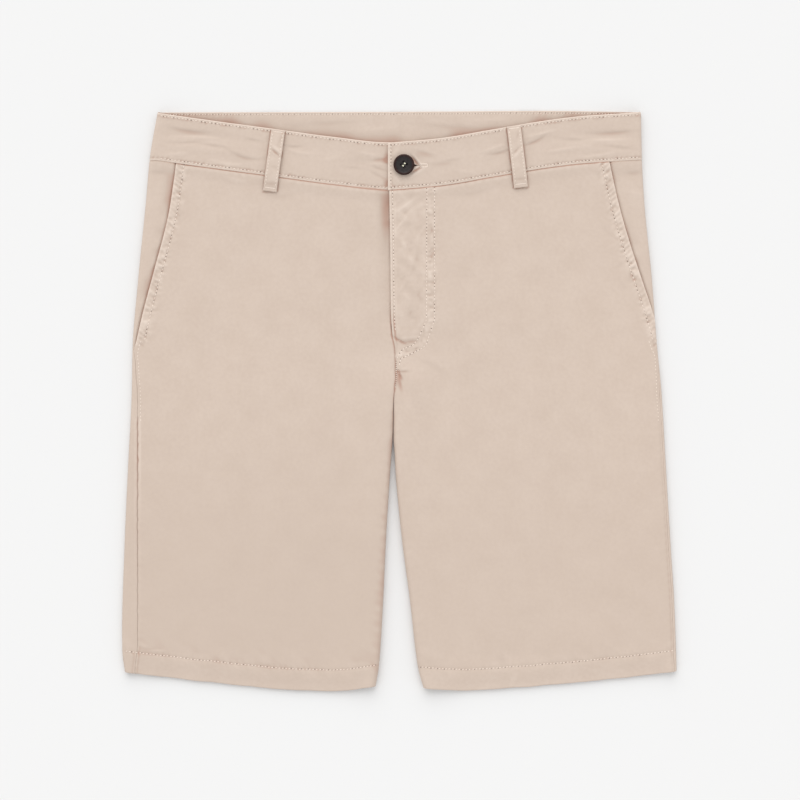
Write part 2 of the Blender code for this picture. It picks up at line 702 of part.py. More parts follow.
def band_back_half(side):
    """Rows of one half of the back waistband, from the middle, underneath, up round the side fold."""
    ring = Ring(side, BAND_SIDE_HEIGHT, lambda side, y: 0.0, band_height)

    def way_at(y, column):
        middle = -ring.length(y)
        if column <= BAND_BACK_COLUMNS:
            return middle - (middle + ring.outer_arc) * column / BAND_BACK_COLUMNS
        share = (column - BAND_BACK_COLUMNS) / BAND_FOLD_STEPS
        return -ring.outer_arc + (ring.outer_arc - 0.5 * FOLD_SEAM_GAP) * share

    rows = []
    for row in BAND_BACK_ROWS:
        pairs = []
        for column in range(BAND_BACK_COLUMNS + BAND_FOLD_STEPS + 1):
            skin = ring.crossing(row, lambda y, c=column: way_at(y, c), back_seam_y, band_top_back_y)
            pairs.append(wall_pair(skin, BAND_WALL))
        rows.append(pairs)
    return rows


def band_back(material, collection):
    """The back waistband: one piece along the underside, rounding up at both side folds."""
    rows = [right[::-1] + left[1:] for right, left in zip(band_back_half("right"), band_back_half("left"))]
    return wall_loft("waistband_back", rows, material, collection, mirrored=True)


# ---------------------------------------------------------------- belt loops
def front_loop(side, material, collection):
    """A flat loop over the front waistband, sewn at its top edge and just below it, and arched between."""
    top_x, shift = FRONT_LOOPS[side]
    top = Vector((top_x, band_top_y[side](top_x) - LOOP_TOP_INSET))
    bottom = Vector((top_x + shift, front_seam_y(side, top_x + shift) - LOOP_BELOW_BAND))
    along = (bottom - top).normalized()
    across = Vector((along.y, -along.x))
    band_z = band_height(side, *top)
    body_z = front_height(side, *bottom)
    rows = []
    for i in range(LOOP_STEPS + 1):
        share = i / LOOP_STEPS
        centre = top.lerp(bottom, share)
        arch = LOOP_ARCH * (1.0 - (2.0 * share - 1.0) ** 4)
        cloth_z = band_z + (body_z - band_z) * between(share, *LOOP_STEP_DOWN)
        skin_z = cloth_z + LOOP_LIFT + arch + FRONT_LOOP_WALL
        pairs = []
        for column in LOOP_COLUMNS:
            place = centre + across * (LOOP_WIDTH * column)
            roll = LOOP_EDGE_ROLL if abs(column) == 0.5 else 0.0
            pairs.append(wall_pair(Skin(place.x, place.y, skin_z, 0.0, 1.0), FRONT_LOOP_WALL, roll=roll))
        rows.append(pairs)
    return wall_loft(f"belt_loop_front_{side}", rows, material, collection)


def back_loops(band, backs, material, collection, cutters):
    """Loops on the back, pressed flush into the underside that the shorts lie on."""
    half = 0.5 * BACK_LOOP_WIDTH
    gap = Vector((SEAM_GAP, SEAM_GAP, SEAM_GAP))
    below_table = Vector((0.0, 0.0, CUTTER_REACH))
    for name, x in BACK_LOOPS.items():
        low = Vector((x - half, back_seam_y(x) - LOOP_BELOW_BAND, 0.0))
        high = Vector((x + half, band_top_back_y(x) - LOOP_TOP_INSET, BACK_LOOP_WALL))
        slab(f"belt_loop_back_{name}", low, high, collection, material)
        recess = slab(f"recess_{name}", low - gap - below_table, high + gap, cutters)
        cut(band, recess)
        for side in SIDES:
            if name in (side, "centre"):
                cut(backs[side], recess)


# ---------------------------------------------------------------- button
def button_profile():
    """Half section of the button: (radius, height) from the middle of its face, over the rim, to its back."""
    top = BUTTON_THICKNESS
    floor = top - BUTTON_DISH
    inside = BUTTON_RADIUS - BUTTON_RIM
    return (
        (0.0, floor), (inside - 1.0, floor), (inside, floor + 0.35), (inside + 0.5, top - 0.1),
        (inside + 1.1, top), (BUTTON_RADIUS - 0.6, top - 0.25), (BUTTON_RADIUS, top - 1.1),
        (BUTTON_RADIUS - 0.3, top - 2.2), (BUTTON_RADIUS - 2.0, 0.0), (0.0, 0.0),
    )


def button(material, collection, cutters):
    x, y = BUTTON_AT
    z = band_level["left"](x) + LAYER_GAP
    profile = [(radius * MM, 0.0, height * MM) for radius, height in button_profile()]
    mesh = bpy.data.meshes.new("button")
    mesh.from_pydata(profile, [(i, i + 1) for i in range(len(profile) - 1)], [])
    obj = new_object("button", mesh, collection, material)
    obj.location = Vector((x, y, z)) * MM
    screw = obj.modifiers.new("turn", "SCREW")
    screw.steps = 36
    screw.render_steps = 36
    screw.use_merge_vertices = True
    screw.merge_threshold = 0.00002
    half = 0.5 * BUTTON_HOLE_SPACING
    for i, (dx, dy) in enumerate(((-half, -half), (half, -half), (half, half), (-half, half))):
        centre = Vector((x + dx, y + dy, z))
        cut(obj, peg(f"thread_hole_{i}", BUTTON_HOLE_RADIUS, 2 * CUTTER_REACH, centre, cutters))


def buttonhole(band, cutters):
    """A keyhole slot in the buttoned end: a round eye under the button, and a slit running outwards."""
    centre = Vector((*BUTTON_AT, band_level["left"](BUTTON_AT[0])))
    reach = Vector((0.0, 0.5 * BUTTONHOLE_WIDTH, CUTTER_REACH))
    far_end = centre + Vector((BUTTONHOLE_LENGTH, 0.0, 0.0))
    cut(band, peg("buttonhole_eye", BUTTONHOLE_EYE_RADIUS, 2 * CUTTER_REACH, centre, cutters))
    cut(band, slab("buttonhole_slit", centre - reach, far_end + reach, cutters))


def main():
    clear_scene()
    parts = new_collection("bermuda_shorts")
    cutters = new_collection("cutters")
    twill = new_material("twill", roughness=0.9)
    horn = new_material("button_horn", roughness=0.35)
    backs = {}
    for side in SIDES:
        front_panel(side, twill, parts)
        backs[side] = back_panel(side, twill, parts)
        pocket_facing(side, twill, parts)
        front_loop(side, twill, parts)
    band_front("right", twill, parts)
    over_band = band_front("left", twill, parts)
    back_loops(band_back(twill, parts), backs, twill, parts, cutters)
    buttonhole(over_band, cutters)
    button(horn, parts, cutters)


main()
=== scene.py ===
"""Bermuda shorts in cotton twill, laid flat with the front up: the fine cloth, its sewing, light and camera.

Sizes are in millimetres until a mesh is made. +X is the wearer's left, +Y runs from the hems to the waist,
+Z is up, and the shorts lie on z = 0.

Each half of the body is a flattened ring of cloth, with a rounded fold at the outer edge and one at the inner
edge below the crotch. A way round it counts from the outer fold's middle: positive on top, negative
underneath. Every piece is a thin shell on a stretch of that ring: a grid of rows and columns, whose edges are
turned under.
"""

import math
from collections import namedtuple
from functools import partial

import bpy
import numpy as np
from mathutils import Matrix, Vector


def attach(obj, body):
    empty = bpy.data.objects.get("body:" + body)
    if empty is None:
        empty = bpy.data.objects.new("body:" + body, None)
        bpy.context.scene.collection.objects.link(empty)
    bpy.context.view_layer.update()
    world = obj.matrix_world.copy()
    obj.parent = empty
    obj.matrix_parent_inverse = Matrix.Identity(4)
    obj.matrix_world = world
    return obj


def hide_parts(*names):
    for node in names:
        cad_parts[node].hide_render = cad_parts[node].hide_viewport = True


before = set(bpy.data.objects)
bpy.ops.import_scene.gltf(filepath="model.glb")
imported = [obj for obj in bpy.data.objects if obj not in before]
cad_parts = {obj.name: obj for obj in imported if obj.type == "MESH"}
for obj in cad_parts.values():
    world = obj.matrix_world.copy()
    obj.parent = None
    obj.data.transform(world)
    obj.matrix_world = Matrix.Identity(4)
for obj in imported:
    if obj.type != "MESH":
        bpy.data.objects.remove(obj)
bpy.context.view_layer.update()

MM = 0.001
SIDES = ("right", "left")
OUTWARD = {"right": -1.0, "left": 1.0}

# ---- sizes of the garment
CLOTH = 0.55  # one layer
BAND_WALL = 2.0
FRONT_LOOP_WALL = 1.6
BACK_LOOP_WALL = 1.0

EDGE_TURN = 0.58  # radius of a turned edge
CORNER_DEPTH = 0.2  # how much deeper two turned edges lie where they cross
EDGE_ALLOWANCE = 6.0  # how far a turned edge runs back under its piece
HEM_ALLOWANCE = 16.5
SEAM_GAP = 0.2
SIDE_SEAM_GAP = 0.04
FOLD_SEAM_GAP = 0.06

FIELD_HEIGHT = 5.2
OUTER_FOLD_HEIGHT = 6.4
INNER_FOLD_HEIGHT = 8.4
OUTER_RADIUS = 0.5 * OUTER_FOLD_HEIGHT
INNER_RADIUS = 0.5 * INNER_FOLD_HEIGHT
FLY_HEIGHT = 7.0
UNDERLAP_HEIGHT = 3.9
BAND_SIDE_HEIGHT = 7.6

LEGS_PART_Y = (14.0, -26.0)
FOLD_REACH = (38.0, 0.0)  # how far in from a fold the height comes down to the field's
INSEAM_RISE_Y = (46.0, 4.0)
FLY_REACH_X = (62.0, 28.0)
FLY_RISE_Y = (46.0, 80.0)
UNDERLAP_REACH = (-14.0, -2.0)
UNDERLAP_Y = (50.0, 76.0)
FOLDS_CALM = 10.0  # how far in from a fold the cloth is smooth
CREASES_BEGIN = (2.0, 3.0)  # how far in from the outer and the inner edge
CREASES_LEFT = 0.25  # what is left of them at an edge

HEM_DEPTH = 18.5
HEM_DROOP = 1.7  # how far the front sinks towards its hem, between the side folds
HEM_DROOP_REACH = 17.0
HEM_SWAY = ((0.30, 17.0, 71), (0.16, 6.0, 72))  # height, length and seed of each unevenness of the hem's edge
SEAM_SWAY = (0.34, 3.6, 75)  # the same, of the side seam
SEAM_SWAY_FROM = (0.5, 3.0)

BAND_DEPTH = 41.0
BAND_END = {"right": 30.0, "left": -10.0}
BAND_STITCH_IN = 2.2
BAND_END_STITCH_IN = 2.8
BAND_END_UNDER_X = -9.0  # where the sewing of the under end begins
UNDER_END_TRIM = 1.2
UNDER_END_TAPER = 16.0
WAIST_TUCK = 0.6  # how far a front runs on under the waistband's rounded edge
WAIST_DIP = 0.62  # how far it sinks there
WAIST_DIP_REACH = 0.7
WAIST_RISE = 0.9  # how far the cloth comes up to meet the band it is sewn to
WAIST_RISE_REACH = (12.0, 1.5)

FACING_HIDDEN = 16.0
FACING_BLEND = 2.6
FACING_LOW_Y = 41.0
FACING_DROP = 1.55
POCKET_LOW_Y = 46.0
POCKET_STITCH_IN = 7.0
SEAM_STITCH_IN = 2.6
SEAM_STITCH_TURN_Y = (36.0, 52.0)  # where the side seam's row runs over to the pocket's

FLY_LOW_Y = 58.0
FLY_EDGE_Y = (44.0, 60.0)  # where the fly's own edge begins
FLY_ROWS_Y = (35.0, 39.0)  # where its curved rows begin
FLY_EDGE_STITCH_IN = 3.0
FLY_BAR_AT = (-1.0, 25.3)
FLY_BAR_REACH = (0.6, 2.4)
FLY_ROWS_FOOT = ((-0.4, 30.0), (-1.6, 35.4))
FLY_TACK_Y = (11.0, 34.0)

LOOP_WIDTH = 12.0
LOOP_BELOW_BAND = 13.5
LOOP_ARCH = 1.3
LOOP_LIFT = 0.6
LOOP_STEP_DOWN = (0.7, 1.0)
LOOP_TOP_INSET = 0.4
LOOP_STITCH_IN = 1.7
FRONT_LOOPS = {"right": (-104.0, -7.4), "left": (98.0, 6.3)}
BACK_LOOPS = {"right": -112.0, "centre": 0.0, "left": 112.0}
BACK_LOOP_WIDTH = 11.0
LOOP_PRESS_GAP = 0.12
LOOP_PRESS_REACH = (3.2, 0.2)  # how far round a back loop the cloth above it is pushed up

BUTTON_AT = (3.8, 202.4)
BUTTON_RADIUS = 9.0
BUTTON_THICKNESS = 3.4
BUTTON_RIM = 2.3
BUTTON_DISH = 0.9
BUTTON_GAP = 0.45
BUTTON_CALM = (26.0, 16.0)
BUTTON_STEPS = 96
BUTTON_SHARP = 35.0  # sharper edges than this are kept
THREAD_HOLE_RADIUS = 1.1
THREAD_HOLE_NECK = 0.42
THREAD_HOLE_STEP = 1.0  # the holes narrow to a neck this far above the back
THREAD_HOLE_STEPS = 24
THREAD_HOLES_REACH = 2.4
THREAD_HOLES_TURN = 98.0  # bearing of the first hole
BUTTONHOLE_RISE = -0.5  # of the slit's middle over the button's
BUTTONHOLE_SLIT = (  # x from the button's middle, and half the slit's width
    (-1.4, 1.6), (2.0, 1.9), (8.6, 1.3), (10.2, 0.7), (11.6, 0.15), (13.6, 0.06),
)
BUTTONHOLE_LIP = (  # x, and how far each lip's sewing lies from the middle of the slit
    (17.6, 1.5), (19.0, 1.35), (21.0, 1.3), (23.4, 1.25),
)

# ---- sewing
Puckers = namedtuple("Puckers", "at pitch reach height slant seed")  # at is their middle's place from a line
PUCKERS = {
    "hem": Puckers(0, 5.3, 3.2, 0.12, 0.5, 0),
    "pocket": Puckers(5, 4.1, 4.4, 0.44, 0.7, 5),
    "waist": Puckers(2, 7.5, 5, 0.1, -0.2, 7),
    "side_seam": Puckers(1.5, 7, 4, 0.05, 0.3, 11),
    "inseam": Puckers(2.5, 9, 6, 0.05, -0.3, 13),
    "fly_row": Puckers(-3, 4.6, 4, 0.14, 0.35, 0),
    "fly_edge": Puckers(2, 4.4, 2.6, 0.14, -0.3, 2),
    "band_top": Puckers(2.2, 4.1, 2.2, 0.16, 0.5, 0),
    "band_seam": Puckers(2.2, 3.9, 2.2, 0.16, -0.5, 2),
    "band_end": Puckers(1.5, 6, 3, 0.1, 0, 4),
    "band_back": Puckers(1.5, 5.4, 3.6, 0.12, 0.5, 0),
    "loop": Puckers(5, 4, 1.8, 0.06, 0, 0),
}
PUCKER_DRIFT = (1.6, 2.7)  # how far they stray from an even pitch, and over how many pitches
PUCKER_STRENGTH = (0.62, 0.55, 2.1)  # on average, how much it varies, and over how many pitches

BAND_BACK_ROPE = 1.6  # how much more the back waistband's inner side ropes
FURROWS = {  # how deep and how wide the thread draws the cloth down
    "fold": (0.16, 2),
    "hem": (0.2, 0.8),
    "pocket": (0.26, 0.9),
    "fly_outer": (0.2, 0.8),
    "fly_inner": (0.18, 0.8),
    "fly_edge": (0.14, 0.7),
    "band": (0.2, 0.8),
    "band_back": (0.22, 0.8),
    "loop": (0.07, 0.7),
    "loop_top": (0.3, 1),
    "loop_foot": (0.16, 1),
    "back_loop": (0.15, 0.7),
}
LOOP_BARS_IN = (2.2, 3)  # from a front loop's top and from its foot
BACK_LOOP_BARS_IN = (3, 2.2)  # from a back loop's foot and from its top

Stitches = namedtuple("Stitches", "pitch length slant sunk across holes", defaults=(0, 0, False, True))
STITCHES = {
    "hem": Stitches(2.9, 2, 14),
    "hem_back": Stitches(2.6, 2, 14),
    "pocket": Stitches(3.2, 2.3),
    "side_seam": Stitches(3, 2.1, 0, 0.18, holes=False),
    "fly": Stitches(3, 2.2, 9),
    "fly_bar": Stitches(1, 0.55),
    "fly_tack": Stitches(1.7, 0.9),
    "band": Stitches(3, 2.1, 10),
    "band_end": Stitches(3, 2.1, 8),
    "band_inside": Stitches(2.5, 1.8, 24),
    "band_back": Stitches(3.2, 2.3),
    "loop": Stitches(2.7, 1.9, 0, 0.16, holes=False),
    "loop_top": Stitches(0.75, 1.6, 0, 0.12, across=True),
    "loop_foot": Stitches(0.75, 1.5, 0, 0.12, across=True),
    "back_loop": Stitches(3.1, 2.1),
    "back_loop_bar": Stitches(0.62, 2, across=True),
    "buttonhole": Stitches(0.62, 1.3, 0, 0.12, across=True),
    "buttonhole_bar": Stitches(0.6, 1, 0, 0.2, across=True),
}
SLOPE_STEP = 0.35  # over which a piece's slope is taken
HEADING_STEP = 0.4  # and a line's direction
STITCH_RINGS = ((-0.8, 0.66), (-0.28, 1), (0.28, 1), (0.8, 0.66))  # place along a stitch, and thickness
STITCH_SIDES = 6
STITCH_DIP = 0.16  # how far a stitch's ends sink into the cloth
STITCH_UNEVEN = 0.07  # of a pitch
STITCH_WOBBLE = 3  # degrees
THREAD_WIDTH = 0.74
THREAD_HEIGHT = 0.4
UNDERSIDE_THREAD = 0.365  # height of the thread's middle on the underside, level with the cloth
NEEDLE_HOLE_LENGTH = (0.55, 0.95)
NEEDLE_HOLE_WIDTH = 0.7
NEEDLE_HOLE_HEIGHT = 0.09
NEEDLE_HOLE_DIP = 0.02

CROSSING_STEPS = 6  # in which a tilted row's crossing with a column is found

# ---- unevenness of worn cloth
NOISE_CELLS = 61
NOISE_START = (1000.37, 1000.71)
DRAPE = ((0.26, 31.0), (0.11, 12.5), (0.040, 5.2), (0.012, 2.4))  # height and size of each kind of bump
FRONT_SEED = {"right": 110, "left": 120}
SEWN_SEED = {"right": 310, "left": 330}
BAND_SEED = {"right": 210, "left": 220}
BAND_SEWN_SEED = {"right": 410, "left": 430}
BACK_HEM_SEED = {"right": 510, "left": 520}
BACK_SEED = 530
BACK_TOP_SEED = 540
FACING_SEED = 610
BAND_BACK_ROPE_SEED = 710
BAND_BACK_SEED = 720
BAND_BACK_TONE_SEED = 730
LOOP_SEED = {"right": 810, "left": 820}
FRONT_TONE_SEED = {"right": 840, "left": 850}
BAND_TONE_SEED = 860
FACING_TONE_SEED = 870
LOOP_SHADE_SEED = 880
BODY_STITCH_SEED = {"right": 1000, "left": 1100}
BACK_STITCH_SEED = 1200
BAND_STITCH_SEED = {"right": 1300, "left": 1400}
BAND_BACK_STITCH_SEED = 1500
LOOP_STITCH_SEED = 1600
LOOP_BAR_SEED = 1610
BACK_LOOP_STITCH_SEED = 1650
BACK_LOOP_BAR_SEED = 1660
BUTTONHOLE_SEED = 1700
BUTTONHOLE_BAR_SEED = 1710

# ---- colours, light and camera
CLOTH_LIGHT = (0.642, 0.529, 0.449)
CLOTH_DARK = (0.604, 0.491, 0.412)
# shaded and deep-shade cloth are painted shade, in creases, furrows and shadows; worn and lit cloth is real
# wear along edges with painted highlight on ridges
CLOTH_SHADED = (0.572, 0.466, 0.391)
CLOTH_DEEP_SHADE = (0.460, 0.282, 0.218)
CLOTH_WORN_AND_LIT = (0.740, 0.625, 0.540)
CLOTH_WEAR_AND_SHADE = (  # each colour, the wear and painted light and shade at which it begins and is full, and its share then
    ("Shaded cloth", -0.02, -0.35, 0.85),
    ("Sunk cloth", -0.28, -1.15, 0.95),
    ("Worn cloth", 0.05, 0.9, 0.9),
)
THREAD = (0.84, 0.73, 0.64)
# painted shade of the needle's holes
NEEDLE_HOLE_SHADE = (0.18, 0.115, 0.09)
BUTTON_THREAD = (0.90, 0.88, 0.68)
HORN_FACE = (0.017, 0.0135, 0.0135)
HORN_RIM = (0.022, 0.0065, 0.005)
HORN_STREAK = (1.7, 1.8)  # how much lighter the face's and the rim's streaks are
TWILL_PITCH = 0.78  # from one diagonal rib to the next
TWILL_SLOPE = (0.90, 0.44)
YARN_PITCH = 0.36

SUN_STRENGTH = 1.3
SUN_SPREAD = 64.0
SUN_FROM = (38.0, -8.0)  # elevation, and bearing from +Y
SUN_COLOUR = (1.0, 0.995, 0.985)
ROOM_STRENGTH = 0.870
FLOOR_COLOUR = (0.82, 0.82, 0.82)
FLOOR_HALF = 4000.0
FLOOR_Z = -0.02
CAMERA_AT = (0.43, 0.69, 1628.5)
CAMERA_LENS = 85.0
CAMERA_SENSOR = 36.0
CAMERA_CLIP = (0.05, 20.0)  # metres

# ---- strokes of wear and shade
Stroke = namedtuple("Stroke", "tone at reach")  # along a line: lighter, or darker if tone is below 0
POCKET_STROKES = (Stroke(0.75, 0.3, 1.1), Stroke(0.26, 5.2, 4.8))
SIDE_SEAM_STROKE = Stroke(0.45, 2.0, 0.9)
BACK_SEAM_STROKES = (Stroke(0.25, -2.0, 0.9), Stroke(-0.5, 0.0, 0.7))
# painted shade down the inseams near the crotch
CROTCH_SHADE_STROKES = (Stroke(-1.1, 0.0, 0.8), Stroke(-0.35, 0.0, 2.6))
FLY_EDGE_STROKES = (Stroke(0.75, 0.6, 1.1), Stroke(0.30, 4.6, 0.9))
BAND_EDGE_STROKE = Stroke(0.90, 0.3, 1.0)
# a painted highlight just inside a loop's edge and a painted shadow at it
LOOP_EDGE_HIGHLIGHT_AND_SHADOW = (Stroke(0.45, -0.5, 0.6), Stroke(-0.9, 0.0, 0.35))
BUTTONHOLE_SHADE_AT = (13.5, 207.5)
FLY_FOOT_SHADE_AT = (-0.2, 18.5)
FACING_SHADE = {"right": 1.0, "left": 0.45}
LEG_PAINTED_SHADE = {"right": 0.27, "left": 0.17}  # painted shade: how much darker the legs are towards their hems, where less light falls
LEG_PAINTED_SHADE_Y = (60.0, -190.0)

# ---- outline tables
# Rows of an edge are (y, x), those of a hem or a waistband's top are (x, y), and those of a level are (x, z).

OUTER_EDGE = {
    "right": (
        (-233.7, -236.2), (-216, -238.4), (-200, -238.7), (-128, -236.7), (-60, -233.7), (9, -230.3),
        (44, -229.7), (104, -224.9), (173, -218), (207, -215), (248.5, -208.1),
    ),
    "left": (
        (-232.5, 238.4), (-214, 237.9), (-171, 236.3), (-128, 233.5), (-60, 229.4), (9, 225.3),
        (44, 221.9), (104, 217.2), (173, 210.5), (207, 208.6), (248.6, 207.7),
    ),
}
INNER_EDGE = {
    "right": (
        (-246, -20.5), (-228, -17.6), (-171, -13.9), (-121, -11.6), (-81, -9.2), (-61, -7.9), (-43, -6.6),
        (-31, -5.75), (-16, -5.2), (-4, -5.05), (9, -4.35), (20, -3.65), (44, -4), (58, -6.2),
    ),
    "left": (
        (-247, 20.6), (-228, 15.6), (-171, 8.8), (-121, 2.2), (-81, -1.9), (-61, -3.6), (-43, -4.5),
        (-31, -5.35), (-16, -5.4), (-4, -5.25), (9, -4.5), (20, -3.8), (44, -4.15), (58, -6.3), (76, -7.4),
        (135, -8.1), (180, -8.9),
    ),
}
UNDERLAP_EDGE = ((FLY_LOW_Y, -6.2), (65, -6.8), (86, 6), (184, 6))
CENTRE_BACK = ((25, -3.6), (207, -0.5))
FLY_ROWS = (  # the outer and inner row: x at each height, from the fly's foot up
    (
        (36, 1.2), (38.9, 7.3), (41.1, 11.6), (44.1, 17.6), (48, 22.5), (56.6, 25.8), (66, 28.8),
        (70, 30.2), (183, 30.2),
    ),
    (
        (38, -1.6), (44.3, 3.3), (48, 11.6), (60, 19.1), (72, 23.2), (182, 23.6),
    ),
)
POCKET_EDGE = {
    "right": (
        (POCKET_LOW_Y, -227.3), (75, -220.7), (108, -212), (147, -201.6), (165, -197.7), (191, -193.8),
        (208, -191.4),
    ),
    "left": ((POCKET_LOW_Y, 226), (70, 219.6), (106, 207.7), (136, 197.9), (167, 189.1), (208, 179.8)),
}
SIDE_SEAM_WRAP = {  # how far in from the silhouette the side seam shows on top
    "right": ((-236, 8.4), (-206, 13.6), (-95, 10.2), (-16, 6.4), (36, 2.4), (47, 0)),
    "left": ((-236, 2.2), (0, 2), (30, 0.8), (48, 0)),
}
SIDE_SEAM_SHADE = {  # how plainly the side seam shows at each height
    "right": (
        (-236, -1), (-216, -0.8), (-207, 0), (-150, 0.3), (-90, 0.6), (-60, 1.5), (-16, 1.6), (-12, -0.3),
        (60, -0.3),
    ),
    "left": ((-236, -0.6), (60, -0.5)),
}
HEM_LINE = {
    "right": ((-236, -233.7), (-166, -241.8), (-94, -248.6), (-60, -249.8), (-20.5, -245.8)),
    "left": ((20.6, -247), (52, -249.4), (110, -246), (172, -240.6), (238.7, -232.5)),
}
BAND_TOP_FRONT = {
    "right": ((-208.1, 247.3), (-168, 241.8), (-109, 233.9), (-57, 226.9), (-10, 222.4), (30, 222.4)),
    "left": ((-10, 221.6), (31, 225.1), (79, 233.1), (126, 241), (158, 244.8), (207.7, 247.9)),
}
BAND_TOP_BACK = ((-208.1, 248.4), (0, 249), (132, 249.8), (207.7, 248.6))
BAND_LEVEL = {
    "right": ((-211, BAND_SIDE_HEIGHT), (-172, 6.2), (-50, 5.9), (-16, 4.7), (30, 4.7)),
    "left": ((-10, 7.6), (33, 7.6), (58, 6.2), (82, 5.9), (172, 6.2), (208, BAND_SIDE_HEIGHT)),
}

# ---- folds and creases
Fold = namedtuple("Fold", "x y angle length width height")  # a broad ridge, or a trough below 0
Crease = namedtuple("Crease", "x y angle length width height bend", defaults=(0,))  # steeper on one flank


def rows_of(kind, *rows):
    return [kind(*row) for row in rows]


CREASE_FLANKS = (1.25, 0.62)  # how steeply a crease falls away on its far and near side
BODY_FOLDS = rows_of(
    Fold,
    (-190, -80, 92, 80, 20, -0.9),
    (-154, -128, 88, 70, 15, 0.9),
    (-70, -60, 84, 90, 24, 0.7),
    (-150, 62, 76, 55, 20, -0.8),
    (-60, 118, 82, 50, 22, 0.6),
    (142, -64, 92, 75, 18, -0.9),
    (72, -150, 97, 65, 18, 0.9),
    (190, -110, 94, 80, 14, 0.6),
    (160, 120, 104, 45, 18, -0.7),
    (84, 60, 80, 60, 22, 0.6),
    (2, 15, 110, 12, 4.5, -1.3),
    (10, 20, 112, 14, 5, 0.7),
    (6, 58, 20, 12, 6, 0.6),
)
BAND_FOLDS = rows_of(
    Fold,
    (-173, 228, -5, 32, 5, -0.65),
    (-165, 216.5, -6, 34, 5, 0.5),
    (-138, 205, -24, 18, 4.5, -0.4),
    (122, 223, 17, 15, 4.5, -0.5),
    (84, 209, 18, 13, 4.5, -0.35),
    (180, 229, -2, 28, 4.5, -0.55),
    (176, 218, -3, 30, 5, 0.5),
    (-34, 205, 6, 12, 5, -0.5),
)
BODY_CREASES = rows_of(
    Crease,
    (8.2, 164.4, 37, 9, 1.2, -0.24),
    (5.6, 168.4, 37, 12, 1.2, 0.42),
    (4.6, 158.4, -36, 7, 1.1, 0.36),
    (1, 152, 52, 9, 1.1, 0.38),
    (19, 146, 56, 7, 1.2, 0.3),
    (6, 130, -66, 10, 1.3, 0.36, 1),
    (13, 118, 74, 10, 1.4, -0.18, 1),
    (17.6, 91, -80, 16, 1.6, -0.2, 1.5),
    (26, 108, -84, 12, 1.3, 0.32, -1),
    (3, 100, 64, 9, 1.4, 0.3),
    (9, 76, -56, 8, 1.3, -0.2, 1),
    (19, 68, 50, 7, 1.2, 0.26),
    (-0.8, 52.6, -30, 7, 0.9, -0.95),
    (9.6, 51.4, 7, 6.5, 1.4, -0.6),
    (8, 54, 3, 9, 1.6, 0.3),
    (12, 44.5, 26, 7, 1.3, -0.4),
    (3, 40, 8, 6, 1.5, 0.4),
    (97, -240, 70, 6, 2, 0.25),
    (178, 146, -48, 7, 1.5, -0.18, 1),
    (183, 134, 28, 6, 1.5, 0.18),
    (188, 116, 40, 6, 1.5, -0.15),
    (192, 100, -56, 7, 1.5, -0.15),
    (-140, 190, -14, 9, 1.8, 0.25),
    (-100, 176, 8, 12, 2.2, -0.22, 1),
    (64, 178, 10, 14, 2.4, -0.22, 1.5),
    (-220, -210, -14, 5, 1.1, 0.3),
    (-208, -214.6, 0, 6, 0.9, 0.22),
    (30, 30, -30, 16, 2.4, -0.18, -2),
)
BAND_CREASES = rows_of(
    Crease,
    (-182, 231.5, -8, 16, 1.7, -0.55, 1),
    (-172, 226.5, -3, 16, 1.4, 0.55, -0.8),
    (-184, 221.5, 2, 14, 1.3, -0.45, 0.5),
    (-160, 219, -8, 13, 1.5, -0.55),
    (-192, 212, 4, 9, 1.4, 0.35),
    (-134, 209, -16, 15, 1.5, -0.6, 2.5),
    (-146, 203, -6, 14, 1.6, 0.35, 1.5),
    (-126, 224, -10, 7, 1.4, -0.4),
    (-91, 218.2, -3, 8, 1.2, -0.45, 0.8),
    (-84, 213, -8, 9, 1.2, 0.35, 0.8),
    (-60, 208, 12, 9, 1.4, 0.2),
    (-16, 207.5, 4, 7, 1.2, -0.65),
    (-16, 203.5, -2, 7, 1, 0.45),
    (-17, 199.5, -14, 7, 1.1, -0.5),
    (-18, 193.5, -26, 8, 1.2, -0.45),
    (-26, 212, -12, 9, 1.4, 0.3),
    (-40, 200, -4, 10, 1.4, -0.28),
    (44, 206, 10, 9, 1.5, -0.3),
    (56, 197, -8, 10, 1.4, 0.24, 0.8),
    (86, 213, 14, 10, 1.2, -0.55, 1),
    (80, 217, 18, 10, 1.3, 0.4),
    (116, 222.5, 24, 11, 1.2, -0.6, 1.2),
    (122, 229.5, 14, 12, 1.3, 0.45),
    (140, 216, 8, 13, 1.4, 0.4),
    (150, 224, -2, 14, 1.5, -0.45, 1),
    (184, 230, 4, 20, 1.5, -0.5, 1),
    (178, 224, 0, 18, 1.2, 0.5),
    (188, 217.5, -6, 16, 1.5, -0.55),
    (172, 211, 8, 15, 1.4, 0.35),
)
FLY_BAR_CREASES = rows_of(
    Crease,
    (4.4, 25.2, 0, 5, 0.7, -0.55),
    (3.6, 27.4, 10, 4, 1, 0.25),
    (0.9, 21.4, -59, 4.2, 0.9, -1),
    (0.6, 14, -74, 7, 1.6, -0.62),
    (4.2, 17, -64, 6, 1.4, 0.3),
    (-1, 17, -84, 6, 1.1, 0.35),
    (6.4, 8, -76, 12, 1.6, -0.25, 1),
    (8.6, 0, -80, 14, 2, 0.2, 1),
)
BUTTONHOLE_CREASES = rows_of(
    Crease,
    (14.2, 205.4, -50, 5.5, 0.9, -1),
    (16.4, 205.4, -50, 6.5, 1, 0.55),
    (14.6, 198.6, 30, 5, 0.9, -0.9),
    (14.8, 200.4, 24, 3, 0.9, 0.6),
    (16, 196.6, 34, 6.5, 1, 0.45),
    (22, 212, -14, 9, 2.4, -0.35),
    (36, 203, 2, 12, 2, -0.22),
    (-3.5, 213.5, 58, 6, 1.6, 0.22),
    (-3, 192, -55, 6, 1.6, 0.22),
)
FACING_CREASES = rows_of(
    Crease,
    (-203, 214, 4, 8, 2, -0.4),
    (-206, 196, 2, 8, 2.2, -0.4),
    (201, 195.5, 3, 9, 2.4, -0.5),
    (204, 178, -8, 8, 2.4, 0.3),
)
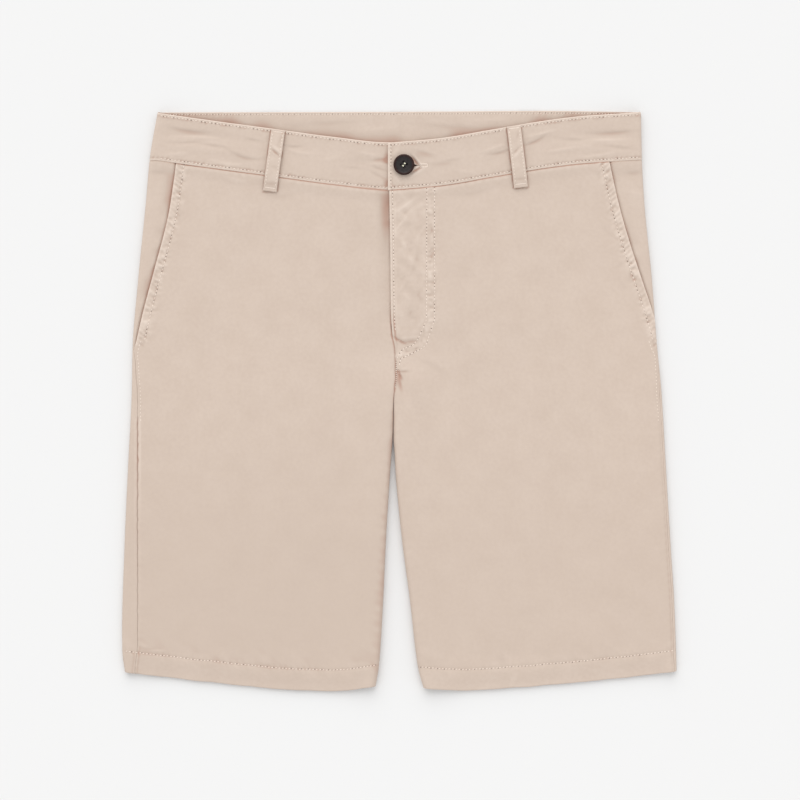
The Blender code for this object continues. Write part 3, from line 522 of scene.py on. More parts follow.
BACK_FOLDS = rows_of(
    Fold,
    (-120, -90, 88, 80, 10, 0.5),
    (-70, 60, 70, 60, 9, 0.4),
    (-150, 150, 100, 40, 8, 0.4),
    (110, -120, 94, 85, 10, 0.5),
    (66, 20, 112, 50, 9, 0.4),
    (150, 140, 82, 45, 8, 0.4),
)
INSIDE_CREASES = rows_of(  # on the back waistband's inner side, above the front one
    Crease,
    (-60, 239, 2, 22, 2.2, -0.35),
    (-20, 234, 4, 18, 2, 0.25),
    (40, 236, -4, 24, 2.2, -0.3),
    (80, 242, 3, 16, 1.8, 0.25),
)
LOOP_CREASES = {  # along the loop from its top, and across it
    "right": rows_of(
        Crease,
        (20, 0, -56, 5, 0.9, -0.7),
        (17.6, -0.6, -58, 5, 1.2, 0.4),
        (8, -3, 12, 5, 1, -0.35),
        (33, -2, 100, 4, 1.6, -0.3),
        (47, 0, 84, 6, 1.4, -0.35),
    ),
    "left": rows_of(
        Crease,
        (21, 0, 52, 5, 1, -0.3),
        (9, -2, 20, 4, 1.1, -0.35),
        (24, 0, 52, 6, 1.2, 0.35),
        (46, 0, 94, 6, 1.2, -0.3),
    ),
}


# ---- small maths
def eased(t):
    return t * t * (3.0 - 2.0 * t)


def between(value, start, end):
    """0 at start and 1 at end, smoothly, in either direction."""
    return eased(np.clip((value - start) / (end - start), 0.0, 1.0))


def stacked(*parts):
    return np.stack(parts, axis=-1)


def curve_through(rows):
    """A smooth function through a table of (place, value) rows, held level past both ends."""
    places = np.array([row[0] for row in rows])
    values = np.array([row[1] for row in rows])
    widths = np.diff(places)
    steps = np.diff(values) / widths
    before = steps[:-1]
    after = steps[1:]
    same_way = before * after > 0.0
    inner = np.where(same_way, 2.0 * before * after / np.where(same_way, before + after, 1.0), 0.0)
    slopes = np.concatenate(([steps[0]], inner, [steps[-1]]))

    def value_at(place):
        place = np.clip(place, places[0], places[-1])
        i = np.clip(np.searchsorted(places, place, side="right") - 1, 0, len(widths) - 1)
        width = widths[i]
        t = (place - places[i]) / width
        return (
            (1 + 2 * t) * (1 - t) ** 2 * values[i]
            + t * (1 - t) ** 2 * width * slopes[i]
            + t * t * (3 - 2 * t) * values[i + 1]
            + t * t * (t - 1) * width * slopes[i + 1]
        )

    return value_at


def unevenness(x, y, size, seed):
    """Smooth seeded noise from -1 to 1, whose bumps are about one size across."""
    lattice = np.random.default_rng(seed).uniform(-1.0, 1.0, (NOISE_CELLS, NOISE_CELLS))
    u = np.asarray(x) / size + NOISE_START[0]
    v = np.asarray(y) / size + NOISE_START[1]
    i = np.floor(u).astype(int)
    j = np.floor(v).astype(int)
    a = eased(u - i)
    b = eased(v - j)
    i, next_i = i % NOISE_CELLS, (i + 1) % NOISE_CELLS
    j, next_j = j % NOISE_CELLS, (j + 1) % NOISE_CELLS
    low = lattice[i, j] * (1 - a) + lattice[next_i, j] * a
    high = lattice[i, next_j] * (1 - a) + lattice[next_i, next_j] * a
    return low * (1 - b) + high * b


def wavering(along, size, seed):
    """Unevenness along a line."""
    return unevenness(along, 0.0 * along, size, seed)


def curves(tables):
    """A smooth function for the right and for the left."""
    return {side: curve_through(tables[side]) for side in SIDES}


outer_x = curves(OUTER_EDGE)
inner_x = curves(INNER_EDGE)
pocket_x = curves(POCKET_EDGE)
plain_seam_wrap = curves(SIDE_SEAM_WRAP)
seam_shade = curves(SIDE_SEAM_SHADE)
plain_hem_y = curves(HEM_LINE)
band_top_y = curves(BAND_TOP_FRONT)
band_level = curves(BAND_LEVEL)
band_top_back_y = curve_through(BAND_TOP_BACK)
underlap_x = curve_through(UNDERLAP_EDGE)
centre_back_x = curve_through(CENTRE_BACK)
fly_row_x = [curve_through(row) for row in FLY_ROWS]


def hem_edge(side):
    """The hem's folded edge, a little uneven as worn cloth is."""

    def y_at(x):
        sway = sum(height * wavering(x, size, seed) for height, size, seed in HEM_SWAY)
        return plain_hem_y[side](x) + sway

    return y_at


def side_seam(side):
    """How far in from the silhouette the side seam shows, wandering a little as a sewn seam does."""
    height, size, seed = SEAM_SWAY

    def inset_at(y):
        plain = plain_seam_wrap[side](y)
        return plain + height * wavering(y, size, seed) * between(plain, *SEAM_SWAY_FROM)

    return inset_at


hem_y = {side: hem_edge(side) for side in SIDES}
seam_wrap = {side: side_seam(side) for side in SIDES}


def front_seam_y(side, x):
    """Where the front meets the waistband."""
    under_end = between(x, BAND_END["left"], BAND_END["left"] + UNDER_END_TAPER) if side == "right" else 0.0
    return band_top_y[side](x) - BAND_DEPTH + UNDER_END_TRIM * under_end


def back_seam_y(x):
    return band_top_back_y(x) - BAND_DEPTH


# ---- distances from the garment's lines
def from_outer_edge(side, x, y):
    return np.abs(x - outer_x[side](y))


def from_inner_edge(side, x, y):
    return np.abs(x - inner_x[side](y))


def past_side_seam(side, x, y):
    """How far in from the side seam a point lies."""
    return from_outer_edge(side, x, y) - seam_wrap[side](y)


def past_pocket(side, x, y):
    """How far in from the pocket opening's edge a point lies, towards the centre."""
    return OUTWARD[side] * (pocket_x[side](y) - x)


def beside_pocket(y):
    """1 beside the pocket opening, and 0 below it."""
    return between(y, POCKET_LOW_Y - 3.0, POCKET_LOW_Y + 4.0)


def above_hem_stitches(side, x, y):
    return y - hem_y[side](x) - HEM_DEPTH


def below_waist(side, x, y):
    return front_seam_y(side, x) - y


def leg_share(y):
    """0 where right and left are one tube, and 1 where each leg is a tube."""
    return between(y, *LEGS_PART_Y)


def from_row(row_x, x, y):
    """How far a point lies to the left of a curved row of stitching."""
    slope = row_x(y + 0.5) - row_x(y - 0.5)
    return (x - row_x(y)) / np.sqrt(1.0 + slope * slope)


# ---- folds, creases, furrows and puckers
def turned_frame(fold, x, y):
    """A point's place along a fold and across it."""
    turn = math.radians(fold.angle)
    along = (x - fold.x) * math.cos(turn) + (y - fold.y) * math.sin(turn)
    across = -(x - fold.x) * math.sin(turn) + (y - fold.y) * math.cos(turn)
    return along, across


def fold_lift(folds, x, y):
    """What the broad folds add to the height at a point."""
    lift = 0.0 * x
    for fold in folds:
        along, across = turned_frame(fold, x, y)
        lift += fold.height * np.exp(-((along / fold.length) ** 2) - (across / fold.width) ** 2)
    return lift


def crease_lift(creases, x, y):
    """What the narrow creases add: each falls away steeply on one flank and slowly on the other."""
    lift = 0.0 * x
    for crease in creases:
        along, across = turned_frame(crease, x, y)
        share = along / crease.length
        across = (across - crease.bend * share * share) / crease.width
        flank = np.where(across > 0.0, across * CREASE_FLANKS[0], across * CREASE_FLANKS[1])
        lift += crease.height * np.exp(-share * share - flank * flank)
    return lift


def near(distance, reach):
    """1 on a line, falling away on both sides of it."""
    return np.exp(-((distance / reach) ** 2))


def spot(x, y, middle, reach, stretch=1.0):
    """1 at a point, falling away round it. stretch makes the spot that much longer along y."""
    return near(np.hypot(x - middle[0], (y - middle[1]) / stretch), reach)


def stroked(strokes, distance):
    """What strokes along a line add to the tone at a distance from it."""
    return sum(stroke.tone * near(distance - stroke.at, stroke.reach) for stroke in strokes)


def furrow(kind, distance):
    """A furrow round a line, as the sewing thread draws the cloth down."""
    depth, width = FURROWS[kind]
    return -depth * near(distance, width)


def puckers(kind, along, from_line, seed):
    """Small ridges across a line of sewing, uneven in pitch and height, dying away on both sides of it."""
    row = PUCKERS[kind]
    seed += row.seed
    across = from_line - row.at
    most_drift, drift_pitches = PUCKER_DRIFT
    average, varied, strength_pitches = PUCKER_STRENGTH
    drift = most_drift * wavering(along, drift_pitches * row.pitch, seed)
    strength = average + varied * wavering(along, strength_pitches * row.pitch, seed + 1)
    wave = np.sin(2.0 * math.pi * (along + row.slant * across) / row.pitch + drift)
    return row.height * strength * wave * near(across, row.reach)


def drape(x, y, seed):
    """The gentle unevenness of worn cloth lying flat."""
    return sum(height * unevenness(x, y, size, seed + i) for i, (height, size) in enumerate(DRAPE))


def waist_rise(below_band):
    return WAIST_RISE * between(below_band, *WAIST_RISE_REACH)


def waist_dip(below_band):
    return WAIST_DIP * near(np.maximum(0.0, below_band), WAIST_DIP_REACH)


def over_loops(x, y):
    """How far the back is pushed up where it lies on its belt loops."""
    lift = 0.0 * (x + y)
    for middle in BACK_LOOPS.values():
        beside = np.abs(x - middle) - 0.5 * BACK_LOOP_WIDTH
        below = back_seam_y(middle) - LOOP_BELOW_BAND - y
        pressed = between(np.maximum(beside, below), *LOOP_PRESS_REACH)
        lift = np.maximum(lift, (BACK_LOOP_WALL + LOOP_PRESS_GAP) * pressed)
    return lift


# ---- the form of the body
def front_inner_x(side, y):
    if side == "right":
        return np.where(y > FLY_LOW_Y, underlap_x(y), inner_x[side](y))
    return inner_x[side](y)


def back_inner_x(side, y):
    """The inseam below the crotch, and the centre back seam above it."""
    centre = centre_back_x(y) + 0.5 * SEAM_GAP * OUTWARD[side]
    return np.where(y < CENTRE_BACK[0][0], inner_x[side](y), centre)


def plain_front_height(side, x, y):
    """Height of the front's outer skin with its broad folds, before any sewing or creases."""
    from_outer = from_outer_edge(side, x, y) - OUTER_RADIUS
    from_inner = from_inner_edge(side, x, y) - INNER_RADIUS
    height = FIELD_HEIGHT + (OUTER_FOLD_HEIGHT - FIELD_HEIGHT) * between(from_outer, *FOLD_REACH)
    inseam = between(from_inner, *FOLD_REACH) * between(y, *INSEAM_RISE_Y)
    height += (INNER_FOLD_HEIGHT - FIELD_HEIGHT) * inseam
    if side == "left":
        height += (FLY_HEIGHT - FIELD_HEIGHT) * between(x, *FLY_REACH_X) * between(y, *FLY_RISE_Y)
    else:
        dip = between(x - inner_x["left"](y), *UNDERLAP_REACH) * between(y, *UNDERLAP_Y)
        height -= (FIELD_HEIGHT - UNDERLAP_HEIGHT) * dip
    sunk = furrow("fold", above_hem_stitches(side, x, y))
    calm = between(from_inner, FOLDS_CALM, 0.0) * leg_share(y)
    droop = HEM_DROOP * between(y - hem_y[side](x), HEM_DROOP_REACH, 0.0)
    relief = fold_lift(BODY_FOLDS, x, y) + sunk - droop
    return height + relief * between(from_outer, 0.0, FOLDS_CALM) * (1.0 - calm)


def front_relief(side, x, y):
    """What creases and sewing add to the front's skin."""
    from_outer = from_outer_edge(side, x, y) - CREASES_BEGIN[0]
    from_inner = from_inner_edge(side, x, y) - CREASES_BEGIN[1]
    full = between(from_outer, 0.0, FOLDS_CALM) * (1.0 - between(from_inner, FOLDS_CALM, 0.0) * leg_share(y))
    relief = crease_lift(BODY_CREASES, x, y) + drape(x, y, FRONT_SEED[side])
    return relief * (CREASES_LEFT + (1.0 - CREASES_LEFT) * full) + sewn_relief(side, x, y)


def hem_relief(side, x, y, seed):
    """Above and below the hem's stitching the cloth ropes: short slanted ridges."""
    from_stitches = above_hem_stitches(side, x, y)
    ruffled = 0.12 * unevenness(x + 0.5 * y, y, 7.0, seed + 3) * near(from_stitches - 2.0, 11.0)
    return puckers("hem", x, from_stitches, seed) + ruffled + furrow("hem", from_stitches)


def sewn_relief(side, x, y):
    """Furrows and puckers along the front's stitching."""
    seed = SEWN_SEED[side]
    relief = hem_relief(side, x, y, seed) + beside_pocket(y) * pocket_relief(side, x, y, seed)
    below_band = below_waist(side, x, y)
    relief = relief + puckers("waist", x, below_band, seed) + waist_rise(below_band) - waist_dip(below_band)
    if side == "left":
        relief += fly_relief(x, y, seed + 9)
    below_pocket = between(y, POCKET_LOW_Y + 6.0, POCKET_LOW_Y - 14.0)
    relief += below_pocket * puckers("side_seam", y, past_side_seam(side, x, y), seed)
    return relief + leg_share(y) * puckers("inseam", y, from_inner_edge(side, x, y), seed)


def pocket_relief(side, x, y, seed):
    """The ladder of worn puckers between a pocket's edge and its row of stitching."""
    from_pocket = past_pocket(side, x, y)
    crumpled = 0.60 * unevenness(0.6 * x, y, 2.4, seed + 6) + 0.16 * unevenness(x, y, 6.0, seed + 4)
    ladder = puckers("pocket", y, from_pocket, seed) + crumpled * near(from_pocket - 5.5, 5.6)
    return ladder + furrow("pocket", from_pocket - POCKET_STITCH_IN)


def fly_relief(x, y, seed):
    """The fly's two rows of stitching, its edge, and the bar at its foot."""
    by_edge = between(y, *FLY_EDGE_Y)
    by_rows = between(y, *FLY_ROWS_Y)
    outer_row = from_row(fly_row_x[0], x, y)
    inner_row = from_row(fly_row_x[1], x, y)
    edge = x - inner_x["left"](y)
    relief = by_rows * (furrow("fly_outer", outer_row) + furrow("fly_inner", inner_row))
    relief += by_edge * furrow("fly_edge", edge - FLY_EDGE_STITCH_IN)
    relief += by_edge * puckers("fly_row", y, outer_row, seed)
    relief += by_edge * puckers("fly_edge", y, edge, seed)
    inside = between(edge, 1.0, 6.0) * between(outer_row, 3.0, -2.0)
    crumpled = 0.22 * unevenness(x + 0.4 * y, 0.7 * y, 5.5, seed + 4) + 0.12 * unevenness(x, y, 2.8, seed + 5)
    scaly = 0.56 * unevenness(x, y, 2.2, seed + 6) + 0.14 * unevenness(x, 0.6 * y, 3.6, seed + 7)
    relief = relief + by_edge * inside * crumpled + by_rows * scaly * near(outer_row + 3.2, 4.6)
    return relief + crease_lift(FLY_BAR_CREASES, x, y)


def front_skin_height(side, x, y):
    """Height of the front's skin at the top of its cloth, rounding down at the side fold and the inseam."""
    from_outer = from_outer_edge(side, x, y)
    level_x = np.where(from_outer < OUTER_RADIUS, outer_x[side](y) - OUTWARD[side] * OUTER_RADIUS, x)
    into_fold = np.clip(OUTER_RADIUS - from_outer, 0.0, OUTER_RADIUS)
    into_inseam = np.clip(INNER_RADIUS - from_inner_edge(side, x, y), 0.0, INNER_RADIUS) * leg_share(y)
    drop = OUTER_RADIUS - np.sqrt(OUTER_RADIUS**2 - into_fold**2)
    drop = drop + INNER_RADIUS - np.sqrt(INNER_RADIUS**2 - into_inseam**2)
    return plain_front_height(side, level_x, y) + front_relief(side, x, y) - drop


def facing_depth(side, x, y):
    """How far the facing lies below the ring: one cloth under the front, coming up level past its edge."""
    return FACING_DROP * between(-past_pocket(side, x, y), FACING_BLEND, 0.0)


def band_height(side, x, y):
    """Height of the waistband's skin, with its folds and creases but not its sewing."""
    from_side = from_outer_edge(side, x, y) - 0.5 * BAND_SIDE_HEIGHT
    calm = between(np.abs(x - BUTTON_AT[0]), *BUTTON_CALM)
    folds = fold_lift(BAND_FOLDS, x, y) * (1.0 - calm) * between(from_side, 0.0, FOLDS_CALM)
    creases = (crease_lift(BAND_CREASES, x, y) + 0.7 * drape(x, y, BAND_SEED[side])) * (1.0 - 0.7 * calm)
    return band_level[side](x) + folds + creases * between(from_side, 0.0, FOLDS_CALM)


def band_sewn_relief(side, x, y):
    """The furrows of the band's edge stitching, and the puckers between it and the edges."""
    seed = BAND_SEWN_SEED[side]
    from_top = band_top_y[side](x) - y
    from_seam = y - front_seam_y(side, x)
    relief = furrow("band", from_top - BAND_STITCH_IN) + furrow("band", from_seam - BAND_STITCH_IN)
    relief = relief + puckers("band_top", x, from_top, seed) + puckers("band_seam", x, from_seam, seed)
    ruffled = 0.14 * unevenness(x, y, 3.4, seed + 6)
    relief += ruffled * (near(from_top - 2.0, 3.2) + near(from_seam - 2.0, 3.2))
    if side == "left":
        from_end = x - BAND_END["left"]
        relief += furrow("band", from_end - BAND_END_STITCH_IN)
        relief = relief + puckers("band_end", y, from_end, seed) + crease_lift(BUTTONHOLE_CREASES, x, y)
    return relief


def band_skin_height(side, x, y):
    return band_height(side, x, y) + band_sewn_relief(side, x, y)


# ---- wear and shade of the cloth
def front_tone(side, x, y):
    """Where the front is lighter, above 0, or darker and pinker, below 0: worn along its edges, with painted
    highlight on its ridges, painted shade in its furrows and creases, painted shadow under the waistband,
    beside the fly and round the crotch, and painted shade deepening towards the hems.
    """
    seed = FRONT_TONE_SEED[side]
    patchy = 0.7 + 0.5 * unevenness(x, y, 6.0, seed)
    below_band = below_waist(side, x, y)
    sewn = sewn_relief(side, x, y) - waist_rise(below_band)
    # painted highlight on the ridges of the sewing and creases, and painted shade in their furrows
    tone = 1.3 * (sewn + crease_lift(BODY_CREASES, x, y))
    # painted shade along the seam under the waistband, with a lighter line below it
    tone = tone - (0.7 + 0.8 * patchy) * near(below_band - 0.1, 0.6) + 0.25 * near(below_band - 2.4, 1.0)
    opening = beside_pocket(y)
    tone += opening * stroked(POCKET_STROKES, past_pocket(side, x, y))
    tone += (1.0 - opening) * side_seam_tone(side, x, y, seed)
    tone += crotch_tone(side, x, y, patchy, seed)
    tone += (fly_tone(x, y) if side == "left" else under_fly_tone(x, y, patchy))
    # painted shade, deepening towards the hems where less light falls
    tone -= LEG_PAINTED_SHADE[side] * between(y, *LEG_PAINTED_SHADE_Y)
    # painted light on the hem, where its droop would shade it
    tone += 0.16 * between(above_hem_stitches(side, x, y), 1.0, -6.0)
    return tone - loop_shade(side, x, y)


def side_seam_tone(side, x, y, seed):
    """A dark speckled line along the side seam, with a lighter one beside it."""
    from_seam = past_side_seam(side, x, y)
    speckled = 0.5 + 0.9 * wavering(y, 2.6, seed + 3)
    return seam_shade[side](y) * (stroked([SIDE_SEAM_STROKE], from_seam) - speckled * near(from_seam, 0.7))


def crotch_tone(side, x, y, patchy, seed):
    """Painted shade, pinker, round the foot of the fly and down the inseams where the folds round away."""
    from_inseam = from_inner_edge(side, x, y)
    tone = patchy * near(y - 10.0, 42.0) * stroked(CROTCH_SHADE_STROKES, from_inseam)
    if side == "right":
        return tone - 0.35 * patchy * leg_share(y) * near(from_inseam, 5.0)
    tone -= 1.3 * spot(x, y, FLY_BAR_AT, 1.5)
    tone -= 0.85 * patchy * spot(x, y, FLY_FOOT_SHADE_AT, 2.8, stretch=2.0)
    tacked = 0.4 + 1.4 * unevenness(0.0 * y, y, 2.4, seed + 5)
    return tone - 1.2 * tacked * near(from_inseam - 0.4, 0.8) * near(y - 17.0, 10.0)


def fly_tone(x, y):
    """The fly's worn edge, the dark line beside it, and the worn cloth along its outer row."""
    from_edge = from_inner_edge("left", x, y)
    tone = between(y, *FLY_EDGE_Y) * stroked(FLY_EDGE_STROKES, from_edge)
    tone -= 1.4 * near(from_edge - 2.4, 0.8) * near(y - 64.0, 12.0)
    from_outer_row = from_row(fly_row_x[0], x, y)
    return tone + 0.16 * between(y, FLY_ROWS_Y[0], 40.0) * near(from_outer_row + 3.2, 4.6)


def under_fly_tone(x, y, patchy):
    """The shade on the right front beside the fly that laps over it."""
    under_fly = x - inner_x["left"](y)
    deep = (0.85 + 0.3 * patchy) * near(y - 165.0, 27.0) * near(under_fly + 3.0, 5.0)
    tone = 0.55 * near(under_fly + 1.9, 0.9) * near(y - 92.0, 34.0)
    tone -= between(y, 50.0, 60.0) * (deep + 0.35 * patchy * near(under_fly, 1.5))
    return tone - 1.6 * near(under_fly, 1.1) * near(y - 62.0, 17.0)


def facing_tone(side, x, y):
    """Painted shade, pinker, in the seam with the band and beside the front's edge that lies on it, with
    painted light and shade on its creases.
    """
    past_edge = -past_pocket(side, x, y)
    patchy = 0.6 + 0.7 * unevenness(x, y, 9.0, FACING_TONE_SEED)
    depth = FACING_SHADE[side]
    beside_edge = 0.75 * near(past_edge, 6.0) * between(y, 60.0, 110.0)
    tone = 0.8 * crease_lift(FACING_CREASES, x, y) - 0.45 * near(below_waist(side, x, y), 1.6)
    return tone - (0.3 + 0.6 * depth) * near(past_edge, 1.1) - depth * patchy * beside_edge


def loop_shade(side, x, y):
    """The narrow dark line beside a front loop, plainer on its right and towards its foot."""
    top_x, shift = FRONT_LOOPS[side]
    foot_x = top_x + shift
    top_y = band_top_y[side](top_x)
    foot_y = front_seam_y(side, foot_x) - LOOP_BELOW_BAND
    share = (top_y - y) / (top_y - foot_y)
    beside = x - (top_x + shift * share)
    half = 0.5 * LOOP_WIDTH
    patchy = 0.8 + 0.5 * unevenness(x, y, 5.0, LOOP_SHADE_SEED)
    line = 1.25 * near(beside + half + 0.3, 0.8) + (0.85 + 0.4 * share) * near(beside - half - 0.3, 0.9)
    below = 0.9 * near(y - foot_y + 0.3, 0.8) * between(np.abs(beside), half + 1.0, half)
    return patchy * (line * between(share, -0.02, 0.02) * between(share, 1.02, 0.99) + below)


def band_tone(side, x, y):
    """Worn along its edges; painted light on its ridges; painted shade, pinker, in its furrows, creases and
    folds, along its stitching and beside what is sewn on; and a painted shadow beside the end that laps over
    it.
    """
    from_top = band_top_y[side](x) - y
    from_seam = y - front_seam_y(side, x)
    patchy = 0.7 + 0.6 * unevenness(x, y, 5.0, BAND_TONE_SEED)
    tone = 1.5 * band_sewn_relief(side, x, y) + 0.8 * crease_lift(BAND_CREASES, x, y)
    tone += 0.30 * fold_lift(BAND_FOLDS, x, y)
    tone = tone + stroked([BAND_EDGE_STROKE], from_top) + stroked([BAND_EDGE_STROKE], from_seam)
    tone -= 0.35 * patchy * (near(from_top - 3.4, 1.2) + near(from_seam - 3.4, 1.1))
    from_end = x - BAND_END["left"]
    if side == "left":
        tone = tone + 0.95 * near(from_end - 0.6, 1.3) - 0.3 * patchy * near(from_end - 4.0, 1.2)
        tone -= 0.7 * patchy * spot(x, y, BUTTONHOLE_SHADE_AT, 4.0)
    else:
        # painted shadow, streaked, on the right band beside the left end that laps over it
        streaks = 0.55 + 0.75 * near(y - 206.5, 4.5) + 0.75 * near(y - 189.0, 5.0)
        tone -= patchy * streaks * near(np.maximum(0.0, -from_end), 3.4)
        tone -= 0.5 * patchy * near(y - 206.5, 3.0) * near(from_end + 7.0, 5.0)
    return tone - loop_shade(side, x, y)


# ---- the flattened ring
Skin = namedtuple("Skin", "x y z lean up")  # points on the outer skin, and the way out of the cloth there


class Ring:
    """A half's ring: an outer edge with a fold of edge_height, an inner edge, and the skin's height on it."""

    def __init__(self, side, edge_height, inner_at, height_at, share_at=None):
        self.side = side
        self.out = OUTWARD[side]
        self.outer_radius = 0.5 * edge_height
        self.outer_arc = 0.5 * math.pi * self.outer_radius
        self.inner_at = inner_at
        self.height_at = height_at
        self.share_at = share_at or (lambda y: 0.0 * y)

    def width(self, y):
        return np.abs(outer_x[self.side](y) - self.inner_at(self.side, y))

    def inner_sweep(self, y):
        """The angle that the inner edge's fold turns through, on each side."""
        return 0.5 * math.pi * self.share_at(y)

    def length(self, y):
        """The way from the outer fold's middle to the inner edge."""
        sweep = self.inner_sweep(y)
        inner_arc = (sweep - np.sin(sweep)) * INNER_RADIUS
        return self.width(y) + self.outer_arc - self.outer_radius + inner_arc

    def way_in(self, distance):
        """The way to the point that lies this far in from the silhouette."""
        inside = np.clip(1.0 - distance / self.outer_radius, -1.0, 1.0)
        return np.where(
            distance < self.outer_radius,
            self.outer_radius * np.arccos(inside),
            distance + self.outer_arc - self.outer_radius,
        )

    def skin(self, y, signed_way):
        sweep = self.inner_sweep(y)
        flat = self.width(y) - self.outer_radius - INNER_RADIUS * np.sin(sweep)
        way = np.abs(signed_way)
        outer_turn = np.clip(0.5 * math.pi - way / self.outer_radius, 0.0, 0.5 * math.pi)
        inner_turn = np.clip((way - self.outer_arc - flat) / INNER_RADIUS, 0.0, sweep)
        level = self.outer_radius + np.clip(way - self.outer_arc, 0.0, flat)
        level_x = outer_x[self.side](y) - self.out * level
        reach = self.outer_radius * np.sin(outer_turn) - INNER_RADIUS * np.sin(inner_turn)
        drop = self.outer_radius * (1 - np.cos(outer_turn)) + INNER_RADIUS * (1 - np.cos(inner_turn))
        lean = self.out * (np.sin(outer_turn) - np.sin(inner_turn))
        up = np.cos(outer_turn) * np.cos(inner_turn)
        top = self.height_at(self.side, level_x, y) - drop
        below = signed_way < 0.0
        x = level_x + self.out * reach
        return Skin(x, y, np.where(below, drop, top), lean, np.where(below, -up, up))

    def crossing(self, rows, way_at, low_at, high_at):
        """The skin where rows cross ways. Rows are tilted and curved, so y is found in a few steps."""
        share = rows.share[:, None]
        added = rows.added[:, None]
        middle = 0.5 * (outer_x[self.side](0.0) + inner_x[self.side](0.0))
        y = low_at(middle) * (1 - share) + high_at(middle) * share + added
        for _ in range(CROSSING_STEPS):
            skin = self.skin(y, way_at(y))
            y = low_at(skin.x) * (1 - share) + high_at(skin.x) * share + added
        return skin._replace(y=y)


# ---- rows and columns
# A spread of lines over a length: a share of the way from its start to its end, millimetres added, how deep
# below the skin the cloth has turned, the angle it has turned through, and which end it belongs to.
Spread = namedtuple("Spread", "share added depth turn end")
Step = namedtuple("Step", "inset depth turn")


def round_edge(radius, turns):
    """Steps round a quarter or half turn, inward to the skin."""
    return [Step(radius - radius * math.sin(turn), radius - radius * math.cos(turn), turn) for turn in turns]


def turned_under(allowance, radius=EDGE_TURN, steps=6, pitch=1.6):
    """A folded edge, from its hidden raw end round the fold: the allowance running back, and half a turn."""
    count = max(2, int(round(allowance / pitch)))
    hidden = [Step(radius + allowance * (1 - i / count), 2 * radius, math.pi) for i in range(count)]
    return hidden + round_edge(radius, [math.pi * (1 - i / steps) for i in range(steps)])


def lip(radius, skirt):
    """A seam edge, from its hidden end: straight down, and a quarter turn up to the skin."""
    quarter = 0.5 * math.pi
    down = [Step(0.0, radius + skirt, quarter)]
    return down + round_edge(radius, (quarter, quarter * 0.67, quarter * 0.33))


def pillow(wall):
    """A soft edge of a doubled piece, from its outermost line in to the flat."""
    return round_edge(0.5 * wall, [math.radians(angle) for angle in (82.0, 60.0, 38.0, 18.0)])


def spread_lines(start_edge, start_steps, middle, end_steps, end_edge):
    """Lines over a length: an edge, fine steps in from it, even lines between, and the same at the end."""
    first = start_edge + [Step(inset, 0.0, 0.0) for inset in start_steps]
    last = (end_edge + [Step(inset, 0.0, 0.0) for inset in end_steps])[::-1]
    if (len(first) + middle + len(last)) % 2 == 0:
        middle += 1
    t = np.arange(1, middle + 1) / (middle + 1)
    between_added = start_steps[-1] * (1 - t) - end_steps[-1] * t
    return Spread(
        share=np.concatenate((np.zeros(len(first)), t, np.ones(len(last)))),
        added=np.concatenate(([step.inset for step in first], between_added, [-step.inset for step in last])),
        depth=np.concatenate(([step.depth for step in first], 0.0 * t, [step.depth for step in last])),
        turn=np.concatenate(([step.turn for step in first], 0.0 * t, [step.turn for step in last])),
        end=np.concatenate((-np.ones(len(first)), 0.0 * t, np.ones(len(last)))),
    )


def steps_to(first, last, pitch):
    """Even insets from first to last."""
    return list(np.arange(first, last + 0.5 * pitch, pitch))


def ways(columns, start, end):
    """The way of every column, between a start and an end."""
    return start * (1 - columns.share) + end * columns.share + columns.added


# ---- shells
def point_grid(skin, depth):
    """Points at a depth below the skin, as an array of rows by columns by three."""
    return stacked(skin.x - skin.lean * depth, skin.y + 0.0 * skin.x, skin.z - skin.up * depth)


def way_out(skin, out, rows, columns):
    """The direction out of the cloth, turned with its folded edges."""
    zero = 0.0 * skin.x
    plain = stacked(skin.lean + zero, zero, skin.up + zero)
    onward = stacked(-out * skin.up + zero, zero, out * skin.lean + zero)
    turn = columns.turn[None, :, None]
    across = np.cos(turn) * plain + np.sin(turn) * columns.end[None, :, None] * onward
    turn = rows.turn[:, None, None]
    lengthwise = np.array((0.0, 1.0, 0.0)) * rows.end[:, None, None]
    return np.cos(turn) * across + np.sin(turn) * lengthwise


def ring_of(grid):
    """The indices round a grid's border."""
    return np.concatenate((grid[0, :-1], grid[:-1, -1], grid[-1, :0:-1], grid[:0:-1, 0]))


def grid_faces(grid):
    corners = (grid[:-1, :-1], grid[:-1, 1:], grid[1:, 1:], grid[1:, :-1])
    return np.stack(corners, axis=-1).reshape(-1, 4)


def shell_faces(outer_shape, inner_shape):
    """Faces of a closed shell between two grids. The inner one may have half the rows and columns."""
    outer = np.arange(outer_shape[0] * outer_shape[1]).reshape(outer_shape)
    inner = outer.size + np.arange(inner_shape[0] * inner_shape[1]).reshape(inner_shape)
    rim_outer = ring_of(outer)
    rim_inner = ring_of(inner)
    count = len(rim_inner)
    step = len(rim_outer) // count
    across = [rim_outer[(step * np.arange(count) + k) % len(rim_outer)] for k in range(step, -1, -1)]
    across += [rim_inner, np.roll(rim_inner, -1)]
    return [grid_faces(outer), grid_faces(inner)[:, ::-1], np.stack(across, axis=-1)]


